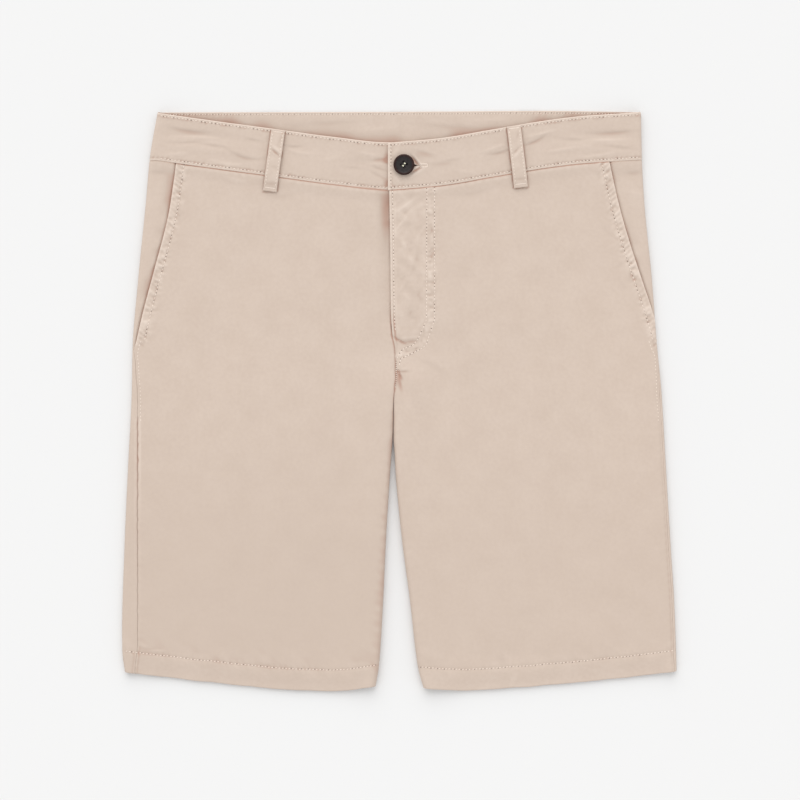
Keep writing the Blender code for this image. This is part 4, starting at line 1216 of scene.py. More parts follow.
def mesh_object(name, points, face_groups, uv=None, tone=None, mirrored=False):
    """An object from points in millimetres and groups of faces, each an array of corners."""
    if mirrored:
        face_groups = [group[:, ::-1] for group in face_groups]
    corners = np.concatenate([group.ravel() for group in face_groups])
    sizes = np.concatenate([np.full(len(group), group.shape[1]) for group in face_groups])
    starts = np.concatenate(([0], np.cumsum(sizes)[:-1]))
    mesh = bpy.data.meshes.new(name)
    mesh.vertices.add(len(points))
    mesh.vertices.foreach_set("co", (points * MM).astype(np.float32).ravel())
    mesh.loops.add(len(corners))
    mesh.loops.foreach_set("vertex_index", corners.astype(np.int32))
    mesh.polygons.add(len(starts))
    mesh.polygons.foreach_set("loop_start", starts.astype(np.int32))
    mesh.update(calc_edges=True)
    mesh.shade_smooth()
    if uv is not None:
        layer = mesh.uv_layers.new(name="cloth")
        layer.data.foreach_set("uv", (uv * MM)[corners].astype(np.float32).ravel())
    if tone is not None:
        # each point's wear together with its painted light and shade
        layer = mesh.attributes.new("wear_and_shade", "FLOAT", "POINT")
        layer.data.foreach_set("value", tone.astype(np.float32))
    obj = bpy.data.objects.new(name, mesh)
    bpy.context.scene.collection.objects.link(obj)
    return obj


def shell(name, outer, inner, flat, tones, step, mirrored):
    """A closed shell between an outer grid and an inner one, which takes every line of it or every other."""
    inner = inner[::step, ::step]
    points = np.concatenate((outer.reshape(-1, 3), inner.reshape(-1, 3)))
    uv = np.concatenate((flat.reshape(-1, 2), flat[::step, ::step].reshape(-1, 2)))
    tone = np.concatenate((tones[0].ravel(), tones[1][::step, ::step].ravel()))
    return mesh_object(name, points, shell_faces(outer.shape[:2], inner.shape[:2]), uv, tone, mirrored)


def cloth_shell(name, skin, ring, rows, columns, relief, tone, way):
    """A thin shell of cloth on a stretch of the ring, with its edges turned under."""
    down = rows.depth[:, None]
    across = columns.depth[None, :]
    turned = np.maximum(down, across) + CORNER_DEPTH * np.minimum(down, across)
    outer = point_grid(skin, turned - relief)
    inner = outer - CLOTH * way_out(skin, ring.out, rows, columns)
    flat = stacked(way + 0.0 * skin.x, skin.y)
    return shell(name, outer, inner, flat, (tone, tone), 2, ring.side == "left")


def slab_depth(rows, columns, wall):
    """How far a doubled piece has rounded down, on its outer side, near its edges."""
    half = 0.5 * wall
    return half - (half - rows.depth[:, None]) * (half - columns.depth[None, :]) / half


def doubled_slab(name, skin, rows, columns, wall, relief, inside, tones, flat, step=2, mirrored=False):
    """A closed piece of doubled cloth. inside raises its inner side, and tones are its two sides' wear with
    painted light and shade.
    """
    depth = slab_depth(rows, columns, wall)
    outer = point_grid(skin, depth - relief)
    inner = point_grid(skin, wall - depth + inside)
    return shell(name, outer, inner, flat, tones, step, mirrored)


# ---- fronts, backs and pocket facings
def front_start_way(ring, side, y):
    """Where the front begins: at the pocket opening, or below it just past the side seam."""
    seam = ring.way_in(seam_wrap[side](y)) + SIDE_SEAM_GAP
    inset = np.maximum(0.0, OUTWARD[side] * (outer_x[side](y) - pocket_x[side](y)))
    opening = ring.way_in(inset * between(y, POCKET_LOW_Y - 10.0, POCKET_LOW_Y + 6.0))
    return np.maximum(seam, opening)


def front_panel(side):
    """From the pocket opening or side seam, over the top, to the fly, the centre seam or the inseam."""
    ring = Ring(side, OUTER_FOLD_HEIGHT, front_inner_x, plain_front_height, leg_share)
    edge = turned_under(EDGE_ALLOWANCE)
    columns = spread_lines(
        edge, steps_to(EDGE_TURN + 0.5, 9.5, 0.7), 118, steps_to(EDGE_TURN + 0.5, 9.5, 0.8), edge
    )
    rows = spread_lines(
        turned_under(HEM_ALLOWANCE, pitch=3.0),
        steps_to(EDGE_TURN + 0.4, 24.0, 0.8),
        330,
        [0.9, 1.3, 1.8] + steps_to(2.5, 6.5, 0.8),
        lip(0.5, 1.0),
    )

    def way_at(y):
        return ways(columns, front_start_way(ring, side, y), ring.length(y) - 0.5 * FOLD_SEAM_GAP)

    skin = ring.crossing(rows, way_at, hem_y[side], lambda x: front_seam_y(side, x) + WAIST_TUCK)
    relief = front_relief(side, skin.x, skin.y)
    tone = front_tone(side, skin.x, skin.y)
    return cloth_shell(f"front_{side}_cloth", skin, ring, rows, columns, relief, tone, way_at(skin.y))


def back_panel(side):
    """From the inseam or centre seam, underneath, round the outer fold and up to the side seam."""
    ring = Ring(side, OUTER_FOLD_HEIGHT, back_inner_x, plain_front_height, leg_share)
    columns = spread_lines(
        turned_under(EDGE_ALLOWANCE),
        steps_to(EDGE_TURN + 0.5, 8.0, 1.2),
        92,
        steps_to(0.8, 14.4, 0.8),
        lip(0.5, 0.9),
    )
    rows = spread_lines(
        turned_under(HEM_ALLOWANCE, pitch=3.0),
        steps_to(EDGE_TURN + 0.6, 23.0, 1.4),
        270,
        steps_to(1.0, 6.0, 1.2),
        lip(0.4, 0.6),
    )

    def way_at(y):
        return ways(columns, 0.5 * FOLD_SEAM_GAP - ring.length(y), ring.way_in(seam_wrap[side](y)))

    skin = ring.crossing(rows, way_at, hem_y[side], lambda x: back_seam_y(x) - SEAM_GAP)
    x, y = skin.x, skin.y
    sewn = hem_relief(side, x, y, BACK_HEM_SEED[side])
    folded = fold_lift(BACK_FOLDS, x, y) + 0.8 * drape(x, y, BACK_SEED)
    underneath = -np.abs(folded) - np.abs(sewn) - over_loops(x, y)
    on_top = drape(x, y, BACK_TOP_SEED) * 0.6 + sewn
    relief = np.where(
        skin.up < 0.0, underneath * between(skin.up, -0.6, -1.0), on_top * between(skin.up, 0.5, 1.0)
    )
    shade = np.where(skin.up > -0.5, 1.0, 0.0) * seam_shade[side](y)
    # painted light on the ridges of the hem's sewing and painted shade in its furrow, with the side seam's
    # line
    tone = 1.5 * sewn + shade * stroked(BACK_SEAM_STROKES, past_side_seam(side, x, y))
    if side == "right":
        tone -= 0.22 * between(y, 20.0, -60.0)
    return cloth_shell(f"back_{side}_cloth", skin, ring, rows, columns, relief, tone, way_at(y))


def pocket_facing(side):
    """The hip piece that shows in the pocket opening and runs on under the front."""
    ring = Ring(side, OUTER_FOLD_HEIGHT, front_inner_x, plain_front_height, leg_share)
    columns = spread_lines(
        lip(0.5, 0.8), steps_to(0.9, 3.3, 0.8), 34, steps_to(0.8, 2.4, 0.8), lip(0.4, 0.0)
    )
    rows = spread_lines(lip(0.4, 0.2), steps_to(0.9, 3.3, 0.8), 130, steps_to(0.9, 4.1, 0.8), lip(0.5, 1.0))

    def way_at(y):
        start = ring.way_in(seam_wrap[side](y)) + SIDE_SEAM_GAP
        end = ring.way_in(np.abs(pocket_x[side](y) - outer_x[side](y)) + FACING_HIDDEN)
        return ways(columns, start, end)

    skin = ring.crossing(
        rows, way_at, lambda x: FACING_LOW_Y + 0.0 * x, lambda x: front_seam_y(side, x) + WAIST_TUCK
    )
    x, y = skin.x, skin.y
    past_edge = -past_pocket(side, x, y)
    on_top = between(skin.up, 0.2, 1.0)
    below_band = below_waist(side, x, y)
    relief = crease_lift(FACING_CREASES, x, y) + 0.7 * drape(x, y, FACING_SEED)
    relief = relief * between(past_edge, 1.0, 6.0) * on_top + waist_rise(below_band) * on_top
    relief = relief - waist_dip(below_band) - facing_depth(side, x, y)
    tone = facing_tone(side, x, y)
    return cloth_shell(f"pocket_facing_{side}_cloth", skin, ring, rows, columns, relief, tone, way_at(y))


# ---- waistband
def band_front(side):
    """The front waistband, from the side fold to its end at the centre."""
    ring = Ring(side, BAND_SIDE_HEIGHT, lambda side, y: BAND_END[side] + 0.0 * y, band_height)
    edge = pillow(BAND_WALL)
    fine = steps_to(1.2, 4.8, 0.6)
    length = abs(OUTER_EDGE[side][-1][1] - BAND_END[side])
    columns = spread_lines(edge, steps_to(1.3, 6.9, 0.8), int(length / 0.95), steps_to(1.2, 24.0, 0.6), edge)
    rows = spread_lines(edge, fine, 38, fine, edge)

    def way_at(y):
        return ways(columns, 0.5 * FOLD_SEAM_GAP, ring.length(y))

    skin = ring.crossing(rows, way_at, partial(front_seam_y, side), band_top_y[side])
    sewn = band_sewn_relief(side, skin.x, skin.y) * between(skin.up, 0.3, 1.0)
    tone = band_tone(side, skin.x, skin.y)
    flat = stacked(way_at(skin.y), skin.y)
    return doubled_slab(
        f"waistband_front_{side}_cloth", skin, rows, columns, BAND_WALL, sewn, 0.0 * sewn, (tone, 0.0 * tone),
        flat, mirrored=side == "left",
    )


def join_halves(right, left):
    """One array across both halves, from the right side fold over the middle to the left one."""
    return np.concatenate((right[:, ::-1], left[:, 1:]), axis=1)


def band_back():
    """The back waistband: one piece along the underside, rounding up at both side folds."""
    edge = pillow(BAND_WALL)
    columns = spread_lines([], [0.0, 1.3], 150, steps_to(1.2, 9.6, 0.8), edge)
    rows = spread_lines(edge, steps_to(1.2, 4.2, 0.6), 24, steps_to(1.2, 4.8, 0.6), edge)
    halves = {}
    for side in SIDES:
        ring = Ring(side, BAND_SIDE_HEIGHT, lambda side, y: 0.0 * y, band_height)

        def way_at(y, ring=ring):
            return ways(columns, -ring.length(y), -0.5 * FOLD_SEAM_GAP)

        skin = ring.crossing(rows, way_at, back_seam_y, band_top_back_y)
        halves[side] = (*skin, way_at(skin.y) * OUTWARD[side])
    *skin, way = (join_halves(*pair) for pair in zip(halves["right"], halves["left"]))
    skin = Skin(*skin)
    x, y = skin.x, skin.y
    both = Spread(None, None, np.concatenate((columns.depth[::-1], columns.depth[1:])), None, None)
    from_top = band_top_back_y(x) - y
    top_furrow = furrow("band_back", from_top - BAND_STITCH_IN)
    furrows = top_furrow + furrow("band_back", y - back_seam_y(x) - BAND_STITCH_IN)
    roped = puckers("band_back", x, from_top, BAND_BACK_ROPE_SEED)
    creased = crease_lift(INSIDE_CREASES, x, y)
    flat_part = between(-skin.up, 0.9, 1.0)
    inside = (furrows + BAND_BACK_ROPE * roped + drape(x, y, BAND_BACK_SEED)) * flat_part
    outside = -np.abs(furrows + 0.6 * roped) * flat_part
    # painted shade on the inner side where it shows just above the front waistband, painted light and shade
    # on its furrows, ropes and creases, and lighter along its top edge
    in_sight = y - np.where(x < 0.0, band_top_y["right"](x), band_top_y["left"](x))
    patchy = 0.6 + 0.8 * unevenness(x, y, 14.0, BAND_BACK_TONE_SEED)
    worn_and_painted_light = 1.5 * (top_furrow + roped) + 0.55 * near(from_top, 1.0) + 0.9 * creased
    worn_and_painted_light = worn_and_painted_light - 0.65 * patchy * near(in_sight, 7.0) - 0.4 * near(in_sight, 1.6)
    flat_share = 1.0 - slab_depth(rows, both, BAND_WALL) / (0.5 * BAND_WALL)
    raised = over_loops(x, y) * flat_part * flat_share
    # the underside is painted darker in its furrows and ropes: painted shade
    return doubled_slab(
        "waistband_back_cloth", skin, rows, both, BAND_WALL, outside - raised, inside + creased * flat_part,
        (1.5 * outside, worn_and_painted_light), stacked(way, y), step=1, mirrored=True,
    )


# ---- belt loops
LoopFrame = namedtuple("LoopFrame", "top low length along sideways")  # a front loop's ends and directions


def front_loop_frame(side):
    top_x, shift = FRONT_LOOPS[side]
    low_x = top_x + shift
    top = np.array((top_x, band_top_y[side](top_x) - LOOP_TOP_INSET))
    low = np.array((low_x, front_seam_y(side, low_x) - LOOP_BELOW_BAND))
    length = float(np.linalg.norm(low - top))
    along = (low - top) / length
    return LoopFrame(top, low, length, along, np.array((along[1], -along[0])))


def loop_relief(side, down, across):
    """Two rows of stitching and the ridge between, tacked flat at both ends."""
    seed = LOOP_SEED[side]
    from_foot = front_loop_frame(side).length - down
    relief = furrow("loop", np.abs(across) - (0.5 * LOOP_WIDTH - LOOP_STITCH_IN))
    relief += puckers("loop", down, np.abs(across), seed)
    relief += furrow("loop_top", down - LOOP_BARS_IN[0])
    relief += furrow("loop_foot", from_foot - LOOP_BARS_IN[1])
    uneven = 0.12 * unevenness(down, across, 4.0, seed + 5)
    return relief + crease_lift(LOOP_CREASES[side], down, across) + uneven


def front_loop_height(side, share):
    """Height of a front loop's skin: lifted over the band and arched between its sewn ends."""
    loop = front_loop_frame(side)
    band_z = band_level[side](loop.top[0])
    body_z = plain_front_height(side, *loop.low)
    cloth_z = band_z + (body_z - band_z) * between(share, *LOOP_STEP_DOWN)
    arch = LOOP_ARCH * (1.0 - (2.0 * np.clip(share, 0.0, 1.0) - 1.0) ** 4)
    return cloth_z + LOOP_LIFT + arch + FRONT_LOOP_WALL


def strip_grid(length, width, wall):
    """Rows and columns of a doubled strip, with how far down and across it each crossing lies."""
    edge = pillow(wall)
    inset = 0.5 * wall + 0.3
    rows = spread_lines(edge, [inset], int(length / 0.9), [inset], edge)
    columns = spread_lines(edge, [inset], int(width / 0.8), [inset], edge)
    down = (length * rows.share + rows.added)[:, None] + 0.0 * columns.share[None, :]
    across = (width * (columns.share - 0.5) + columns.added)[None, :] + 0.0 * down
    return rows, columns, down, across


def front_loop(side):
    loop = front_loop_frame(side)
    rows, columns, down, across = strip_grid(loop.length, LOOP_WIDTH, FRONT_LOOP_WALL)
    x = loop.top[0] + loop.along[0] * down + loop.sideways[0] * across
    y = loop.top[1] + loop.along[1] * down + loop.sideways[1] * across
    skin = Skin(x, y, front_loop_height(side, down / loop.length), 0.0 * x, 1.0 + 0.0 * x)
    relief = loop_relief(side, down, across)
    past_edge = np.abs(across) - 0.5 * LOOP_WIDTH
    # painted light on its ridges and painted shade in its furrows, a painted highlight inside each edge and a
    # painted shadow at it, and lighter over all and at its folded top
    tone = 1.6 * relief + 0.10 + stroked(LOOP_EDGE_HIGHLIGHT_AND_SHADOW, past_edge) + 0.4 * near(down, 1.0)
    return doubled_slab(
        f"belt_loop_front_{side}_cloth", skin, rows, columns, FRONT_LOOP_WALL, relief, 0.0 * relief,
        (tone, tone), stacked(across, down),
    )


def back_loop_ends(name):
    """A back loop's middle, and the heights of its foot and its top."""
    middle = BACK_LOOPS[name]
    return middle, back_seam_y(middle) - LOOP_BELOW_BAND, band_top_back_y(middle) - LOOP_TOP_INSET


def back_loop(name):
    """A loop on the back, pressed into the underside that the shorts lie on."""
    middle, low, high = back_loop_ends(name)
    rows, columns, up, across = strip_grid(high - low, BACK_LOOP_WIDTH, BACK_LOOP_WALL)
    skin = Skin(middle + across, low + up, 0.0 * up, 0.0 * up, -1.0 + 0.0 * up)
    relief = furrow("back_loop", np.abs(across) - (0.5 * BACK_LOOP_WIDTH - LOOP_STITCH_IN))
    # its underside painted darker in the furrows of its stitching: painted shade
    return doubled_slab(
        f"belt_loop_back_{name}_cloth", skin, rows, columns, BACK_LOOP_WALL, relief, 0.0 * relief,
        (1.5 * relief, 0.0 * relief), stacked(across, up), mirrored=True,
    )


# ---- sewing thread
Sewn = namedtuple("Sewn", "centre along out length gap")  # stitches: middles, directions, ways out, sizes


def unit(vectors):
    return vectors / np.linalg.norm(vectors, axis=-1, keepdims=True)


def on_cloth(height_at, x, y):
    """Points on a piece's skin, and the way out of it there."""
    z = height_at(x, y)
    slope_x = (height_at(x + SLOPE_STEP, y) - height_at(x - SLOPE_STEP, y)) / (2 * SLOPE_STEP)
    slope_y = (height_at(x, y + SLOPE_STEP) - height_at(x, y - SLOPE_STEP)) / (2 * SLOPE_STEP)
    return stacked(x, y, z), unit(stacked(-slope_x, -slope_y, 1.0 + 0.0 * x))


def spaced(x, y, pitch, seed):
    """Middles and directions of even steps along a line given by many points."""
    reach = np.concatenate(([0.0], np.cumsum(np.hypot(np.diff(x), np.diff(y)))))
    count = max(1, int(reach[-1] / pitch))
    jitter = np.random.default_rng(seed).uniform(-STITCH_UNEVEN, STITCH_UNEVEN, count)
    middle = (np.arange(count) + 0.5 + jitter) * reach[-1] / count
    before = middle - HEADING_STEP
    after = middle + HEADING_STEP
    ahead_x = np.interp(after, reach, x) - np.interp(before, reach, x)
    ahead_y = np.interp(after, reach, y) - np.interp(before, reach, y)
    return np.interp(middle, reach, x), np.interp(middle, reach, y), np.arctan2(ahead_y, ahead_x)


def sew(kind, height_at, x, y, seed, slant_way=1.0):
    """A kind of stitches along a line on a piece. slant_way turns their slant over if it is -1."""
    row = STITCHES[kind]
    mid_x, mid_y, heading = spaced(np.asarray(x, float), np.asarray(y, float), row.pitch, seed)
    wobble = np.random.default_rng(seed + 7).normal(0.0, STITCH_WOBBLE, len(mid_x))
    heading = heading + np.radians(slant_way * row.slant + wobble) + (0.5 * math.pi if row.across else 0.0)
    centre, out = on_cloth(height_at, mid_x, mid_y)
    flat = stacked(np.cos(heading), np.sin(heading), 0.0 * heading)
    along = unit(flat - out * np.sum(flat * out, axis=-1, keepdims=True))
    gap = row.pitch - row.length if row.holes and not row.across else 0.0
    lengths = np.full(len(mid_x), float(row.length))
    return Sewn(centre - row.sunk * out, along, out, lengths, np.full(len(mid_x), gap))


def underside(sewn):
    return sewn._replace(out=-sewn.out)


def joined(runs):
    return Sewn(*(np.concatenate(parts) for parts in zip(*runs)))


def stitch_mesh(name, runs, width=THREAD_WIDTH, height=THREAD_HEIGHT, dip=STITCH_DIP):
    """Many small threads in one mesh: each is a short bar with rounded ends that dip into the cloth."""
    sewn = joined(runs)
    side = np.cross(sewn.out, sewn.along)
    half = 0.5 * sewn.length[:, None]
    rows = [sewn.centre - sewn.along * half - sewn.out * dip]
    for place, thickness in STITCH_RINGS:
        middle = sewn.centre + sewn.along * half * place - sewn.out * (dip * place * place)
        for k in range(STITCH_SIDES):
            angle = 2.0 * math.pi * k / STITCH_SIDES
            sideways = side * (0.5 * width * thickness * math.cos(angle))
            upwards = sewn.out * (height * thickness * math.sin(angle))
            rows.append(middle + sideways + upwards)
    rows.append(sewn.centre + sewn.along * half - sewn.out * dip)
    points = np.stack(rows, axis=1)
    count = points.shape[1]
    ring = np.arange(STITCH_SIDES)
    after = (ring + 1) % STITCH_SIDES
    first = 1
    last = 1 + STITCH_SIDES * (len(STITCH_RINGS) - 1)
    caps = np.concatenate((
        stacked(0 * ring, first + after, first + ring),
        stacked(0 * ring + count - 1, last + ring, last + after),
    ))
    walls = np.concatenate([
        stacked(low + ring, low + after, low + STITCH_SIDES + after, low + STITCH_SIDES + ring)
        for low in range(first, last, STITCH_SIDES)
    ])
    offsets = (np.arange(len(points)) * count)[:, None, None]
    faces = [(group[None] + offsets).reshape(-1, group.shape[1]) for group in (caps, walls)]
    return mesh_object(name, points.reshape(-1, 3), faces)


def needle_hole_shades(name, runs):
    """A small dark mark after each stitch of a running line: painted shade of the needle's hole."""
    sewn = joined(runs)
    running = sewn.gap > 0.0
    gap = sewn.gap[running]
    reach = 0.5 * (sewn.length[running] + gap)
    centre = sewn.centre[running] + sewn.along[running] * reach[:, None]
    size = np.clip(gap + 0.1, *NEEDLE_HOLE_LENGTH)
    dents = Sewn(centre, sewn.along[running], sewn.out[running], size, gap)
    return stitch_mesh(name, [dents], NEEDLE_HOLE_WIDTH, NEEDLE_HOLE_HEIGHT, NEEDLE_HOLE_DIP)


def line_between(start, end, count=400):
    t = np.linspace(0.0, 1.0, count)
    return start[0] + (end[0] - start[0]) * t, start[1] + (end[1] - start[1]) * t


def hem_line(side, inset):
    """Points along the hem's row of stitching, from the outer edge to the inner one."""
    inset = OUTWARD[side] * inset
    x = np.linspace(outer_x[side](-214.0) - inset, inner_x[side](-228.0) + inset, 900)
    return x, hem_y[side](x) + HEM_DEPTH


def body_stitches(side):
    """Topstitching on a front: its hem, pocket opening and side seam, and the fly on the left one."""
    out = OUTWARD[side]
    seed = BODY_STITCH_SEED[side]
    height_at = partial(front_skin_height, side)
    pocket_y = np.linspace(POCKET_LOW_Y + 6.0, front_seam_y(side, pocket_x[side](200.0)) - 1.5, 700)
    seam_y = np.linspace(POCKET_LOW_Y - 64.0, POCKET_LOW_Y + 6.0, 300)
    to_pocket = (POCKET_STITCH_IN - SEAM_STITCH_IN) * between(seam_y, *SEAM_STITCH_TURN_Y)
    seam_x = outer_x[side](seam_y) - out * (seam_wrap[side](seam_y) + SEAM_STITCH_IN + to_pocket)
    runs = [
        sew("hem", height_at, *hem_line(side, SEAM_STITCH_IN), seed),
        sew("pocket", height_at, pocket_x[side](pocket_y) - out * POCKET_STITCH_IN, pocket_y, seed + 1),
        sew("side_seam", height_at, seam_x, seam_y, seed + 2),
    ]
    if side == "left":
        runs += fly_stitches(height_at, seed + 10)
    return runs


def fly_stitches(height_at, seed):
    """The fly's edge stitching, the two curved rows beside it, and the bar and the tack at its foot."""
    edge_y = np.linspace(FLY_EDGE_Y[1], 181.0, 500)
    runs = [sew("fly", height_at, inner_x["left"](edge_y) + FLY_EDGE_STITCH_IN, edge_y, seed)]
    for i, (row, foot) in enumerate(zip(FLY_ROWS, FLY_ROWS_FOOT)):
        y = np.linspace(row[0][0], row[-1][0], 800)
        x = fly_row_x[i](y)
        foot_x, foot_y = line_between(foot, (x[0], y[0]), 40)
        x = np.concatenate((foot_x, x))
        y = np.concatenate((foot_y, y))
        runs.append(sew("fly", height_at, x, y, seed + 1 + i))
    reach_x, reach_y = FLY_BAR_REACH
    bar_top = (FLY_BAR_AT[0] - reach_x, FLY_BAR_AT[1] + reach_y)
    bar_foot = (FLY_BAR_AT[0] + reach_x, FLY_BAR_AT[1] - reach_y)
    runs.append(sew("fly_bar", height_at, *line_between(bar_top, bar_foot), seed + 4))
    tack_y = np.linspace(*FLY_TACK_Y, 60)
    runs.append(sew("fly_tack", height_at, inner_x["left"](tack_y) + 1.0, tack_y, seed + 6))
    return runs


def underside_level(x, y):
    """The back's stitches lie sunk level with the cloth, and rise with it over the belt loops."""
    return UNDERSIDE_THREAD + over_loops(x, y)


def back_loop_level(x, y):
    return UNDERSIDE_THREAD + 0.0 * (x + y)


def back_stitches(side):
    """The hem's stitching on the underside."""
    return [underside(sew("hem_back", underside_level, *hem_line(side, 6.0), BACK_STITCH_SEED))]


def band_stitches(side):
    """Edge stitching round the front waistband."""
    seed = BAND_STITCH_SEED[side]
    out = OUTWARD[side]
    height_at = partial(band_skin_height, side)
    side_x = OUTER_EDGE[side][-1][1] - out * 2.4
    end_x = BAND_END["left"] + BAND_END_STITCH_IN if side == "left" else BAND_END_UNDER_X
    x = np.linspace(side_x, end_x, 1200)
    runs = [
        sew("band", height_at, x, band_top_y[side](x) - BAND_STITCH_IN, seed, out),
        sew("band", height_at, x, front_seam_y(side, x) + BAND_STITCH_IN, seed + 1, -out),
    ]
    if side == "left":
        low_y = front_seam_y(side, end_x) + BAND_STITCH_IN
        y = np.linspace(low_y, band_top_y[side](end_x) - BAND_STITCH_IN, 300)
        runs.append(sew("band_end", height_at, end_x + 0.0 * y, y, seed + 2))
    return runs


def band_inside_level(x, y):
    """Height of the back waistband's inner side, where it shows above the front one."""
    from_top = band_top_back_y(x) - y
    roped = BAND_BACK_ROPE * puckers("band_back", x, from_top, BAND_BACK_ROPE_SEED)
    level = BAND_WALL + furrow("band_back", from_top - BAND_STITCH_IN)
    return level + roped + drape(x, y, BAND_BACK_SEED)


def band_back_stitches():
    x = np.linspace(-201.0, 201.0, 2000)
    top = band_top_back_y(x) - BAND_STITCH_IN
    seam = back_seam_y(x) + BAND_STITCH_IN
    return [
        sew("band_inside", band_inside_level, x, top, BAND_BACK_STITCH_SEED),
        underside(sew("band_back", underside_level, x, top, BAND_BACK_STITCH_SEED + 1)),
        underside(sew("band_back", underside_level, x, seam, BAND_BACK_STITCH_SEED + 2)),
    ]


def loop_stitches(side):
    """Two rows down a front loop and a bar of thread over each end."""
    loop = front_loop_frame(side)

    def height_at(x, y):
        down = (x - loop.top[0]) * loop.along[0] + (y - loop.top[1]) * loop.along[1]
        across = (x - loop.top[0]) * loop.sideways[0] + (y - loop.top[1]) * loop.sideways[1]
        return front_loop_height(side, down / loop.length) + loop_relief(side, down, across)

    def place(down, across):
        return loop.top + loop.along * down + loop.sideways * across

    runs = []
    reach = 0.5 * LOOP_WIDTH - LOOP_STITCH_IN
    for across in (-reach, reach):
        x, y = line_between(place(4.0, across), place(loop.length - 5.0, across))
        runs.append(sew("loop", height_at, x, y, LOOP_STITCH_SEED))
    for kind, down in (("loop_top", LOOP_BARS_IN[0]), ("loop_foot", loop.length - LOOP_BARS_IN[1])):
        x, y = line_between(place(down, -reach - 0.2), place(down, reach + 0.2))
        runs.append(sew(kind, height_at, x, y, LOOP_BAR_SEED))
    return runs


def back_loop_stitches(name):
    middle, low, high = back_loop_ends(name)
    reach = 0.5 * BACK_LOOP_WIDTH - LOOP_STITCH_IN
    runs = []
    for across in (-reach, reach):
        x, y = line_between((middle + across, low + 5.0), (middle + across, high - 4.0))
        runs.append(underside(sew("back_loop", back_loop_level, x, y, BACK_LOOP_STITCH_SEED)))
    for bar_y in (low + BACK_LOOP_BARS_IN[0], high - BACK_LOOP_BARS_IN[1]):
        x, y = line_between((middle - reach, bar_y), (middle + reach, bar_y))
        runs.append(underside(sew("back_loop_bar", back_loop_level, x, y, BACK_LOOP_BAR_SEED)))
    return runs


def buttonhole_stitches():
    """Close stitches over both lips of the buttonhole, and a bar across its end."""

    def height_at(x, y):
        return band_skin_height("left", x, y) + 0.05

    middle = BUTTON_AT[1] + BUTTONHOLE_RISE
    lip_x, lip_reach = np.array(BUTTONHOLE_LIP).T
    runs = []
    for sign in (1, -1):
        runs.append(sew("buttonhole", height_at, lip_x, middle + sign * lip_reach, BUTTONHOLE_SEED + sign))
    end_x = BUTTONHOLE_LIP[-1][0] + 0.5
    x, y = line_between((end_x, middle - 1.5), (end_x, middle + 1.5))
    runs.append(sew("buttonhole_bar", height_at, x, y, BUTTONHOLE_BAR_SEED))
    return runs


# ---- button
def button_profile():
    """Half section: (radius, height) from the middle of the face, over the rim, to the middle of the back."""
    top = BUTTON_THICKNESS
    floor = top - BUTTON_DISH
    dish = BUTTON_RADIUS - BUTTON_RIM
    edge = BUTTON_RADIUS
    return (
        (1.2, floor - 0.25), (2.6, floor - 0.25), (3.8, floor - 0.05), (dish - 0.9, floor),
        (dish - 0.2, floor + 0.12), (dish + 0.3, floor + 0.5), (dish + 0.7, top - 0.12), (dish + 1.2, top),
        (edge - 0.75, top - 0.10), (edge - 0.35, top - 0.42), (edge - 0.08, top - 0.85), (edge, top - 1.3),
        (edge - 0.2, top - 2.0), (edge - 0.9, 0.5), (edge - 2.0, 0.05), (4.0, 0.0), (1.2, 0.0),
    )


def lathe(name, profile, steps):
    """A solid turned about an upright axis from a half section, closed with a point at both ends."""
    turn = 2.0 * math.pi * np.arange(steps) / steps
    radius = np.array([point[0] for point in profile])[:, None]
    height = np.array([point[1] for point in profile])[:, None]
    body = stacked(radius * np.cos(turn), radius * np.sin(turn), height + 0.0 * turn)
    ends = np.array(((0.0, 0.0, profile[0][1]), (0.0, 0.0, profile[-1][1])))
    points = np.concatenate((body.reshape(-1, 3), ends))
    grid = np.arange(body.shape[0] * steps).reshape(body.shape[0], steps)
    grid = np.concatenate((grid, grid[:, :1]), axis=1)
    top = len(points) - 2
    caps = np.concatenate((
        stacked(0 * grid[0, 1:] + top, grid[0, :-1], grid[0, 1:]),
        stacked(0 * grid[0, 1:] + top + 1, grid[-1, 1:], grid[-1, :-1]),
    ))
    return mesh_object(name, points, [grid_faces(grid)[:, ::-1], caps])


def cut_away(obj, cutters):
    """Cuts the cutters' shapes out of a piece for good, and takes the cutters away."""
    bpy.context.view_layer.update()
    for cutter in cutters:
        boolean = obj.modifiers.new("cut", "BOOLEAN")
        boolean.operation = "DIFFERENCE"
        boolean.solver = "EXACT"
        boolean.object = cutter
    evaluated = obj.evaluated_get(bpy.context.evaluated_depsgraph_get())
    whole = obj.data
    obj.data = bpy.data.meshes.new_from_object(evaluated)
    obj.modifiers.clear()
    bpy.data.meshes.remove(whole)
    for cutter in cutters:
        bpy.data.objects.remove(cutter, do_unlink=True)
    obj.data.shade_smooth()


def thread_hole_places():
    angles = [math.radians(THREAD_HOLES_TURN + 90.0 * k) for k in range(4)]
    return [(THREAD_HOLES_REACH * math.cos(angle), THREAD_HOLES_REACH * math.sin(angle)) for angle in angles]


